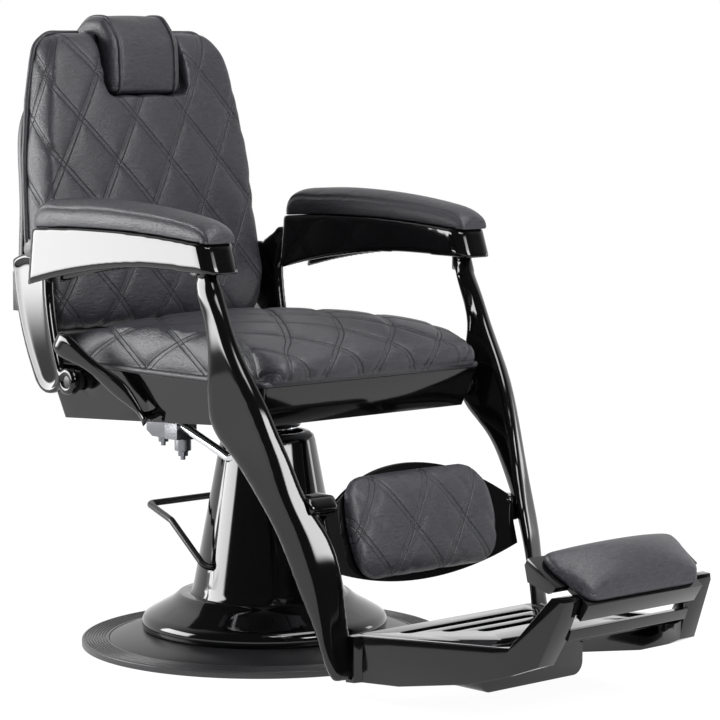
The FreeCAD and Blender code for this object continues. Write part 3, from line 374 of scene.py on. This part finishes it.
def softenEdges(node, finish, slot, radius):
    mesh = mergedCopy(node)
    editMesh(mesh, lambda work: bmesh.ops.dissolve_limit(work, angle_limit=math.radians(edgeAngle["flat"]),
                                                         verts=work.verts, edges=work.edges))
    piece = linkObject(node + "Painted", mesh)
    if radius:
        bevel = piece.modifiers.new("edges", "BEVEL")
        bevel.width = radius / 1000
        bevel.segments = 3
        bevel.limit_method = "ANGLE"
        bevel.angle_limit = math.radians(edgeAngle["bevel"])
        bakeModifiers(piece)
    piece.data.shade_smooth()
    piece.data.set_sharp_from_angle(angle=math.radians(edgeAngle["sharp"]))
    paint(piece, finish)
    settle(piece, bodyOf[node], slot, node)


for node, (finish, slot, radius) in rigid.items():
    softenEdges(node, finish, slot, radius)
print("rigid pieces painted:", len(rigid))


# castings: sand cast and ground, so every edge is well rounded

cast = {  # node: size of the mesh's faces in mm, smoothing passes
    "leg_left": (2.5, 18),
    "leg_right": (2.5, 18),
    "arm_shell_left": (2.2, 14),
    "arm_shell_right": (2.2, 14),
    "leaf_bracket_left": (2.0, 16),
    "leaf_bracket_right": (2.0, 16),
    "recline_lever": (1.6, 20),
    "calf_lug_left": (2.0, 14),
    "calf_lug_right": (2.0, 22),
}


def polish(mesh, passes=12):  # shading normals averaged with their neighbours, so reflections run smoothly
    ends = np.empty(len(mesh.edges) * 2, dtype=int)
    mesh.edges.foreach_get("vertices", ends)
    first, second = ends.reshape(-1, 2).T
    normal = normalsOf(mesh)
    for _ in range(passes):
        total = normal.copy()
        np.add.at(total, first, normal[second])
        np.add.at(total, second, normal[first])
        normal = total / np.linalg.norm(total, axis=1, keepdims=True)
    mesh.normals_split_custom_set_from_vertices(normal.tolist())


def castForm(node, grain, passes):
    piece = voxelSkin(linkObject(node + "Cast", mergedCopy(node)), grain / 1000)
    roundOver(piece, passes)
    piece.data.shade_smooth()
    polish(piece.data)
    paint(piece, glossPaint)
    settle(piece, bodyOf[node], "gloss_black_cast", node)


for node, (grain, passes) in cast.items():
    castForm(node, grain, passes)
print("cast pieces painted:", len(cast))


# cushions: the solid's form is remeshed, then the sewn lines are held and air pressure fills the rest

air = {"frames": 20, "quality": 4}


def swell(piece, step):  # every point along its normal
    setCoords(piece.data, coordsOf(piece.data) + normalsOf(piece.data) * step)


def foamBlock(node, voxel, passes, channel=0.0):
    piece = voxelSkin(linkObject(node + "Sewn", mergedCopy(node)), voxel)
    if channel:  # grown and shrunk again, so narrow channels close
        swell(piece, channel)
        voxelSkin(piece, voxel)
        swell(piece, -channel)
    return roundOver(piece, passes)


def inflate(piece, held, force, cap):  # cloth under pressure, each point's travel capped
    rest = coordsOf(piece.data)
    group = piece.vertex_groups.new(name="sewn")
    group.add(np.nonzero(held)[0].tolist(), 1.0, "REPLACE")
    cloth = piece.modifiers.new("fill", "CLOTH")
    cloth.settings.vertex_group_mass = "sewn"
    cloth.settings.use_pressure = True
    cloth.settings.uniform_pressure_force = force
    cloth.settings.effector_weights.gravity = 0.0
    cloth.settings.quality = air["quality"]
    cloth.point_cache.frame_start = 1
    cloth.point_cache.frame_end = air["frames"]
    for step in range(1, air["frames"] + 1):
        scene.frame_set(step)
    moved = coordsOf(evaluatedMesh(piece)) - rest
    piece.modifiers.clear()
    piece.vertex_groups.clear()
    scene.frame_set(1)
    length = np.linalg.norm(moved, axis=1, keepdims=True) + 1e-9
    setCoords(piece.data, rest + moved / length * cap * np.tanh(length / cap))


def subdivide(piece):
    level = piece.modifiers.new("fine", "SUBSURF")
    level.levels = level.render_levels = 1
    bakeModifiers(piece)


def latticeOf(u, s, quilt):  # whole numbers of the two values are the sewn lines
    (ax, ay), (bx, by) = quilt["steps"]
    u = u - quilt["x"]
    s = s - quilt["s"]
    area = ax * by - ay * bx
    return (u * by - s * bx) / area, (s * ax - u * ay) / area


def lineSpacing(quilt):  # metres between neighbouring lines of each family
    (ax, ay), (bx, by) = quilt["steps"]
    area = abs(ax * by - ay * bx)
    return area / math.hypot(bx, by), area / math.hypot(ax, ay)


def lineGap(lattice, quilt):  # distance to the nearest sewn line
    return np.minimum(*[np.abs(v - np.round(v)) * wide for v, wide in zip(lattice, lineSpacing(quilt))])


def drawQuiltMap(mesh, lattice):
    layer = mesh.uv_layers.new(name="quiltMap")
    corner = np.empty(len(mesh.loops), dtype=int)
    mesh.loops.foreach_get("vertex_index", corner)
    layer.data.foreach_set("uv", np.stack([lattice[0][corner], lattice[1][corner]], axis=1).reshape(-1))


def contours(mesh, value, level, keep):  # lines of equal value across a mesh, as lists of points
    mesh.calc_loop_triangles()
    tris = np.empty(len(mesh.loop_triangles) * 3, dtype=int)
    mesh.loop_triangles.foreach_get("vertices", tris)
    tris = tris.reshape(-1, 3)
    tris = tris[keep[tris].all(axis=1)]
    co = coordsOf(mesh)
    side = value - level
    side = np.where(side == 0, 1e-12, side)
    hit = tris[np.abs(np.sign(side[tris]).sum(axis=1)) < 3]
    joined = {}  # each crossed edge and the crossed edges beside it
    for tri in hit:
        ends = []
        for i, j in ((0, 1), (1, 2), (2, 0)):
            a, b = int(min(tri[i], tri[j])), int(max(tri[i], tri[j]))
            if side[a] * side[b] < 0:
                ends.append((a, b))
        joined.setdefault(ends[0], []).append(ends[1])
        joined.setdefault(ends[1], []).append(ends[0])
    lines = []
    seen = set()
    starts = [e for e in joined if len(joined[e]) == 1] + list(joined)
    for start in starts:
        if start in seen:
            continue
        chain = [start]
        seen.add(start)
        while True:
            ahead = [e for e in joined[chain[-1]] if e not in seen]
            if not ahead:
                break
            seen.add(ahead[0])
            chain.append(ahead[0])
        points = []
        for a, b in chain:
            share = side[a] / (side[a] - side[b])
            points.append(co[a] + (co[b] - co[a]) * share)
        if len(joined[start]) > 1:  # a closed line
            points.append(points[0])
        if len(points) > 4:
            lines.append(np.array(points))
    return lines


stitch = {"Pitch": 0.005, "Length": 0.0036, "Thickness": 0.001}  # metres


def makeStitchTree():  # thread pieces at an even pitch along curves
    tree = bpy.data.node_groups.new("threadStitches", "GeometryNodeTree")
    tree.interface.new_socket("Geometry", in_out="INPUT", socket_type="NodeSocketGeometry")
    for name, size in stitch.items():
        tree.interface.new_socket(name, in_out="INPUT", socket_type="NodeSocketFloat").default_value = size
    tree.interface.new_socket("Thread", in_out="INPUT", socket_type="NodeSocketMaterial")
    tree.interface.new_socket("Geometry", in_out="OUTPUT", socket_type="NodeSocketGeometry")
    given = addNode(tree, "NodeGroupInput").outputs
    even = addNode(tree, "GeometryNodeResampleCurve", {"Curve": given["Geometry"], "Length": given["Pitch"]},
                   mode="LENGTH")
    bead = addNode(tree, "GeometryNodeMeshIcoSphere", {"Radius": 0.5, "Subdivisions": 1})
    along = addNode(tree, "GeometryNodeInputTangent")
    turn = addNode(tree, "FunctionNodeAlignRotationToVector", {"Vector": along}, axis="Z")
    shape = addNode(tree, "ShaderNodeCombineXYZ", {"X": given["Thickness"], "Y": given["Thickness"],
                                                   "Z": given["Length"]})
    sewn = addNode(tree, "GeometryNodeInstanceOnPoints", {"Points": even, "Instance": bead, "Rotation": turn,
                                                          "Scale": shape})
    solid = addNode(tree, "GeometryNodeRealizeInstances", {"Geometry": sewn})
    done = addNode(tree, "GeometryNodeSetMaterial", {"Geometry": solid, "Material": given["Thread"]})
    addNode(tree, "NodeGroupOutput", {"Geometry": done})
    return tree


stitchTree = makeStitchTree()


def curveOf(name, lines, radius=0.0):
    curve = bpy.data.curves.new(name, "CURVE")
    curve.dimensions = "3D"
    curve.bevel_depth = radius
    curve.bevel_resolution = 4
    curve.use_fill_caps = True
    for points in lines:
        spline = curve.splines.new("POLY")
        if np.linalg.norm(points[0] - points[-1]) < 1e-9:  # a closed line
            points = points[:-1]
            spline.use_cyclic_u = True
        spline.points.add(len(points) - 1)
        weighted = np.concatenate([points, np.ones((len(points), 1))], axis=1)
        spline.points.foreach_set("co", weighted.reshape(-1))
    return curve


def settleCurve(name, holder, finish, body):  # a mesh takes the curve's place
    mesh = evaluatedMesh(holder)
    bpy.data.objects.remove(holder)
    piece = linkObject(name, mesh)
    paint(piece, finish)
    settle(piece, body, "black_leather")
    return piece


def sew(name, lines, body):
    holder = linkObject(name, curveOf(name + "Path", lines))
    rows = holder.modifiers.new("stitches", "NODES")
    rows.node_group = stitchTree
    given = {**stitch, "Thread": thread}
    for item in stitchTree.interface.items_tree:
        if item.in_out == "INPUT" and item.name in given:
            rows[item.identifier] = given[item.name]
    settleCurve(name, holder, thread, body)


def layWelts(name, lines, radius, body):
    holder = linkObject(name, curveOf(name + "Path", lines, radius))
    settleCurve(name, holder, leather, body).data.shade_smooth()


def relax(points, passes):
    for _ in range(passes):
        points[1:-1] = 0.5 * points[1:-1] + 0.25 * (points[:-2] + points[2:])
    return points


def sewLattice(name, piece, lattice, keep, body, quilt):
    lines = []
    for value, spacing in zip(lattice, lineSpacing(quilt)):
        first = int(np.floor(value[keep].min()))
        last = int(np.ceil(value[keep].max()))
        for whole in range(first, last + 1):
            for side in (-1, 1):
                level = whole + side * quilt["row"] / spacing
                lines += [relax(line, 3) for line in contours(piece.data, value, level, keep)]
    sew(name, lines, body)


def quiltedCushion(node, quilt, surface, heldBase):
    piece = foamBlock(node, quilt["voxel"], quilt["passes"], quilt["channel"])
    co = coordsOf(piece.data)
    if "hem" in quilt:  # soft lower edge hangs a little lower
        co[:, 2] -= quilt["hem"] * np.clip((quilt["hemTop"] - co[:, 2]) / quilt["hemReach"], 0, 1)
        setCoords(piece.data, co)
    normal = normalsOf(piece.data)
    gap = lineGap(latticeOf(*surface(co, normal), quilt), quilt)
    sunk = np.exp(-(gap / quilt["valley"]) ** 2)
    base = heldBase(co)
    setCoords(piece.data, co - normal * (quilt["shrink"] + quilt["sink"] * sunk)[:, None] * (~base)[:, None])
    inflate(piece, base | (gap < quilt["hold"]), quilt["force"], quilt["cap"])
    subdivide(piece)
    co = coordsOf(piece.data)
    lattice = latticeOf(*surface(co, normalsOf(piece.data)), quilt)
    drawQuiltMap(piece.data, lattice)
    piece.data.shade_smooth()
    paint(piece, quiltLeather)
    settle(piece, bodyOf[node], "black_leather", node)
    sewLattice(node + "Stitching", piece, lattice, ~heldBase(co), bodyOf[node], quilt)


seatQuilt = {  # metres, as in the next two
    "voxel": 0.0055, "passes": 8, "channel": 0.006,  # face size, smoothing passes, half the width that closes
    "shrink": 0.002, "sink": 0.0028, "valley": 0.008,  # taken off before filling, more along the sewn lines
    "hold": 0.004125, "force": 4.0, "cap": 0.012, "fill": 0.8,  # half the held line, pressure, most travel
    "x": -0.085, "s": -0.142, "steps": ((0.060, 0.085), (0.060, -0.085)),  # a crossing and the two ways on
    "row": 0.0046,  # from a sewn line to its stitches
    "crown": 0.598, "shoulder": 0.016, "base": 0.506,  # heights of the top and of the lower edge
    "rim": 0.075, "bend": 0.060,  # where the lines start to turn down, and over what width
}


def seatSurface(co, normal):  # distance over the top and on down the sides
    drop = np.maximum(0, seatQuilt["crown"] - seatQuilt["shoulder"] - co[:, 2])
    way = []
    for axis in (0, 1):
        spot = co[:, axis]
        middle = (spot.min() + spot.max()) / 2
        past = np.abs(spot - middle) - (spot.max() - middle) + seatQuilt["rim"]
        share = np.clip(past / seatQuilt["bend"], 0, 1)
        way.append(spot + np.sign(spot - middle) * drop * share * share * (3 - 2 * share))
    return way


quiltedCushion("seat_cushion", seatQuilt, seatSurface, lambda co: co[:, 2] < seatQuilt["base"])
print("seat cushion sewn")

backQuilt = {
    "voxel": 0.0055, "passes": 8, "channel": 0.006,
    "shrink": -0.002, "sink": 0.0024, "valley": 0.008,
    "hold": 0.004125, "force": 4.0, "cap": 0.010, "fill": 0.7,
    "x": -0.230, "s": 1.0075, "steps": ((0.0713, -0.0791), (-0.0467, -0.0816)),
    "row": 0.0046,
    "foot": 0.360, "level": 0.6, "lean": 0.105,  # the rear face: its place at one height, and its slope
    "thick": 0.082, "shoulder": 0.004, "base": 0.012,  # the cushion's depth, its round edge, the held rear
    "hem": 0.009, "hemTop": 0.615, "hemReach": 0.05,
}


def backRear(z):
    return backQuilt["foot"] + backQuilt["lean"] * (z - backQuilt["level"])


def backSurface(co, normal):  # distance over the front and on round the sides
    deep = np.maximum(0, co[:, 1] - (backRear(co[:, 2]) - backQuilt["thick"]) - backQuilt["shoulder"])
    return co[:, 0] + np.sign(co[:, 0]) * deep * np.abs(normal[:, 0]), co[:, 2]


quiltedCushion("back_cushion", backQuilt, backSurface,
               lambda co: co[:, 1] > backRear(co[:, 2]) - backQuilt["base"])
print("back cushion sewn")

calfQuilt = {
    "voxel": 0.004, "passes": 4, "channel": 0.006,
    "shrink": 0.001, "sink": 0.0014, "valley": 0.007,
    "hold": 0.003, "force": 4.0, "cap": 0.008, "fill": 0.7,
    "x": 0.023, "s": 0.345, "steps": ((0.059, 0.080), (0.059, -0.080)),
    "row": 0.0042,
    "foot": -0.379, "level": 0.25, "lean": 0.27,  # the plate behind: its place at one height, and its slope
    "bow": 0.018, "half": 0.216, "plate": 0.008,  # the plate's bow over half its width, and its thickness
    "base": 0.006,  # the held rear
}


def calfFront(co):  # how far forward of the plate a point stands
    lean = calfQuilt["lean"] * (calfQuilt["level"] - co[:, 2])
    bow = calfQuilt["bow"] * (co[:, 0] / calfQuilt["half"]) ** 2
    return calfQuilt["foot"] - lean - bow - calfQuilt["plate"] - co[:, 1]


quiltedCushion("calf_pad", calfQuilt, lambda co, normal: (co[:, 0], co[:, 2]),
               lambda co: calfFront(co) < calfQuilt["base"])
print("calf pad sewn")

plainPads = {  # face size, smoothing passes, pressure, most travel
    "arm_pad_left": (0.0035, 6, 4.0, 0.004),
    "arm_pad_right": (0.0035, 6, 4.0, 0.004),
    "headrest_pad": (0.004, 70, 4.0, 0.006),
    "flip_pad": (0.004, 45, 4.0, 0.010),
}
padding = {"under": -0.6, "start": 0.4, "fill": 0.75}  # the held underside's slope, share of travel taken off


def plainPad(node):
    voxel, passes, force, cap = plainPads[node]
    piece = foamBlock(node, voxel, passes)
    normal = normalsOf(piece.data)
    held = normal[:, 2] < padding["under"]
    setCoords(piece.data, coordsOf(piece.data) - normal * (cap * padding["start"]) * (~held)[:, None])
    inflate(piece, held, force, cap)
    subdivide(piece)
    return piece


def finishPad(piece, node):
    piece.data.shade_smooth()
    paint(piece, leather)
    settle(piece, bodyOf[node], "black_leather", node)


def crown(piece, rise, edge):  # the upper face domed, most in its middle
    co = coordsOf(piece.data)
    offset = co - (co.min(axis=0) + co.max(axis=0)) / 2
    axes = np.linalg.svd(offset, full_matrices=False)[2]
    up = axes[2] * np.sign(axes[2][2])
    flat = [np.clip(np.abs(offset @ axis) / np.abs(offset @ axis).max(), 0, 1) for axis in axes[:2]]
    share = (1 - flat[0] ** 2) * (1 - flat[1] ** 2) * np.clip(normalsOf(piece.data) @ up * edge, 0, 1)
    setCoords(piece.data, co + up * (rise * share)[:, None])


def seamed(piece, value, level, seam):  # a groove along one line of equal value
    near = np.exp(-((value - level) / seam["width"]) ** 2)
    setCoords(piece.data, coordsOf(piece.data) - normalsOf(piece.data) * (seam["depth"] * near)[:, None])


armSeam = {
    "outer": 0.3265, "inner": 0.2615, "foot": 0.738,  # metres from the chair's middle, and the lowest stitch
    "row": 0.0032, "width": 0.0022, "depth": 0.0016,  # stitches beside the seam, and its groove
    "under": -0.25, "ease": 4,  # lowest slope that is sewn, smoothing passes
}


def sewArmPad(node):
    piece = plainPad(node)
    levels = (armSeam["outer"], armSeam["inner"])
    for level in levels:
        seamed(piece, np.abs(coordsOf(piece.data)[:, 0]), level, armSeam)
    co = coordsOf(piece.data)
    keep = (normalsOf(piece.data)[:, 2] > armSeam["under"]) & (co[:, 2] > armSeam["foot"])
    lines = []
    for level in levels:
        for step in (-armSeam["row"], armSeam["row"]):
            rows = contours(piece.data, np.abs(co[:, 0]), level + step, keep)
            lines += [relax(line, armSeam["ease"]) for line in rows]
    finishPad(piece, node)
    sew(node + "Stitching", lines, bodyOf[node])


for node in ("arm_pad_left", "arm_pad_right"):
    sewArmPad(node)
print("arm pads sewn")

headSeam = {
    "x": 0.064, "welt": 0.0036, "width": 0.004, "depth": 0.0015,  # metres: each seam's place, cord and groove
    "swell": 0.0045, "rear": 0.35, "ease": 8,  # filled out by, slope of the bare rear, smoothing passes
}


def sewHeadrest(node):
    piece = plainPad(node)
    swell(piece, headSeam["swell"])
    co = coordsOf(piece.data)
    normal = normalsOf(piece.data)
    keep = (normal[:, 1] < headSeam["rear"]) | (normal[:, 2] > headSeam["rear"])
    lines = []
    for level in (-headSeam["x"], headSeam["x"]):
        lines += [relax(line, headSeam["ease"]) for line in contours(piece.data, co[:, 0], level, keep)]
        seamed(piece, coordsOf(piece.data)[:, 0], level, headSeam)
    finishPad(piece, node)
    layWelts(node + "Welts", lines, headSeam["welt"], bodyOf[node])


sewHeadrest("headrest_pad")

flipForm = {"swell": 0.004, "crown": 0.015, "edge": 1.6}  # metres, and how soon the dome fades at the sides


def fillFlipPad(node):
    piece = plainPad(node)
    swell(piece, flipForm["swell"])
    crown(piece, flipForm["crown"], flipForm["edge"])
    finishPad(piece, node)


fillFlipPad("flip_pad")
print("headrest and foot pad sewn")


# welts: piping round the seat and the back

for node in ("seat_piping", "back_piping"):
    piece = linkObject(node + "Welt", mergedCopy(node))
    paint(piece, leather)
    settle(piece, bodyOf[node], "black_leather", node)
print("welts laid")


# studio

softboxes = {  # place, aim and size in metres, watts, share of each side over which the light fades
    "leftSoftbox": ((-2.1, 1.95, 1.06), (0, 0, 0.85), (2.2, 1.6), 140, 0.12),
    "frontSoftbox": ((0.3, -2.9, 1.6), (0, -0.1, 0.6), (1.4, 1.3), 85, 0.2),
    "highSoftbox": ((-0.9, -2.4, 3.4), (0, -0.1, 0.6), (2.4, 1.2), 90, 0.2),
    "rightSoftbox": ((2.7, -0.85, 0.62), (0, 0, 0.4), (0.5, 0.8), 6, 0.2),
    "topSoftbox": ((0.3, -1.1, 2.6), (0, -0.8, 0.1), (1.6, 1.2), 40, 0.2),
}


def softbox(name, place, aim, size, power, edge):
    lamp = bpy.data.lights.new(name, "AREA")
    lamp.shape = "RECTANGLE"
    lamp.size, lamp.size_y = size
    lamp.energy = power
    lamp.use_nodes = True  # brighter in the middle than at its edges
    tree = lamp.node_tree
    across = addNode(tree, "ShaderNodeNewGeometry").outputs["Parametric"]
    spot = addNode(tree, "ShaderNodeSeparateXYZ", {"Vector": across})
    fade = []
    for axis in ("X", "Y"):
        inside = addNode(tree, "ShaderNodeMath", {0: spot.outputs[axis], 1: 0.5}, operation="PINGPONG")
        fade.append(addNode(tree, "ShaderNodeMapRange", {"Value": inside, "From Max": edge},
                            interpolation_type="SMOOTHSTEP"))
    both = addNode(tree, "ShaderNodeMath", {0: fade[0], 1: fade[1]}, operation="MULTIPLY")
    setInputs(tree, tree.nodes["Emission"], {"Strength": both})
    holder = linkObject(name, lamp)
    holder.location = place
    holder.rotation_euler = (Vector(aim) - Vector(place)).to_track_quat("-Z", "Y").to_euler()


for name, light in softboxes.items():
    softbox(name, *light)

studio = {
    "world": 0.32, "room": 0.06, "backdrop": 1.0,  # light all round, dark room in mirrors, white behind
    "behind": (0.6, 0.8, 0.0), "sweep": (-0.15, 0.6),  # way to the backdrop, where mirrors see it fade in
    "chalk": "#f3f3f3", "floor": 0.88, "glow": 1.08,  # the floor's colour, its share of glow, and the glow
    "near": 1.2, "far": 2.6, "reach": 3.4, "drop": 0.0005,  # metres: where it fades to white, edge, depth
}
white = hexColour("#ffffff")


def seenBy(tree):  # ray kinds that see the backdrop itself rather than its light
    rays = addNode(tree, "ShaderNodeLightPath").outputs
    mirror = addNode(tree, "ShaderNodeMath", {0: rays["Is Glossy Ray"], 1: rays["Is Transmission Ray"]},
                     operation="MAXIMUM")
    return rays["Is Camera Ray"], mirror


def makeWorld():  # white behind the chair, a dark room on the camera's side
    world = bpy.data.worlds.new("whiteStudio")
    world.use_nodes = True
    tree = world.node_tree
    tree.nodes.clear()
    eye, mirror = seenBy(tree)
    ahead = addNode(tree, "ShaderNodeTexCoord").outputs["Generated"]
    facing = addNode(tree, "ShaderNodeVectorMath", {0: ahead, 1: studio["behind"]}, operation="DOT_PRODUCT")
    low, high = studio["sweep"]
    sweep = addNode(tree, "ShaderNodeMapRange", {"Value": facing.outputs["Value"], "From Min": low,
                                                 "From Max": high, "To Min": studio["room"],
                                                 "To Max": studio["backdrop"]},
                    interpolation_type="SMOOTHSTEP")
    light = addNode(tree, "ShaderNodeMix", {0: mirror, 2: studio["world"], 3: sweep})
    level = addNode(tree, "ShaderNodeMix", {0: eye, 2: light, 3: studio["backdrop"]})
    sky = addNode(tree, "ShaderNodeBackground", {"Color": white, "Strength": level})
    addNode(tree, "ShaderNodeOutputWorld", {"Surface": sky})
    return world


def makeFloorPaint():
    # matt white sweep paint: pale by the chair, and glowing to plain white where the camera sees it
    material = bpy.data.materials.new("whiteSweep")
    material.use_nodes = True
    tree = material.node_tree
    tree.nodes.clear()
    eye, mirror = seenBy(tree)
    seen = addNode(tree, "ShaderNodeMath", {0: eye, 1: mirror}, operation="MAXIMUM")
    place = addNode(tree, "ShaderNodeTexCoord").outputs["Object"]
    radius = addNode(tree, "ShaderNodeVectorMath", {0: place}, operation="LENGTH")
    edge = addNode(tree, "ShaderNodeMapRange", {"Value": radius.outputs["Value"], "From Min": studio["near"],
                                                "From Max": studio["far"], "To Min": studio["floor"]})
    share = addNode(tree, "ShaderNodeMath", {0: seen, 1: edge}, operation="MULTIPLY")
    chalk = addNode(tree, "ShaderNodeBsdfDiffuse", {"Color": hexColour(studio["chalk"])})
    glow = addNode(tree, "ShaderNodeEmission", {"Color": white, "Strength": studio["glow"]})
    mixed = addNode(tree, "ShaderNodeMixShader", {0: share, 1: chalk, 2: glow})
    addNode(tree, "ShaderNodeOutputMaterial", {"Surface": mixed})
    return material


scene.world = makeWorld()
floorMesh = bpy.data.meshes.new("studioFloorMesh")
editMesh(floorMesh, lambda work: bmesh.ops.create_circle(work, cap_ends=True, segments=96,
                                                         radius=studio["reach"]))
studioFloor = linkObject("studioFloor", floorMesh)
studioFloor.location.z = -studio["drop"]
paint(studioFloor, makeFloorPaint())

# metres, degrees, mm
view = {"place": (-3.475, -3.974, 1.054), "tilt": 90 - 5.946, "turn": -43.016, "lens": 150.0}
camera = bpy.data.cameras.new("photoCamera")
camera.lens = view["lens"]
camera.sensor_width = 36.0
camera.clip_end = 100.0
holder = linkObject("photoCamera", camera)
holder.location = view["place"]
holder.rotation_euler = (math.radians(view["tilt"]), 0.0, math.radians(view["turn"]))
scene.camera = holder
print("studio set")
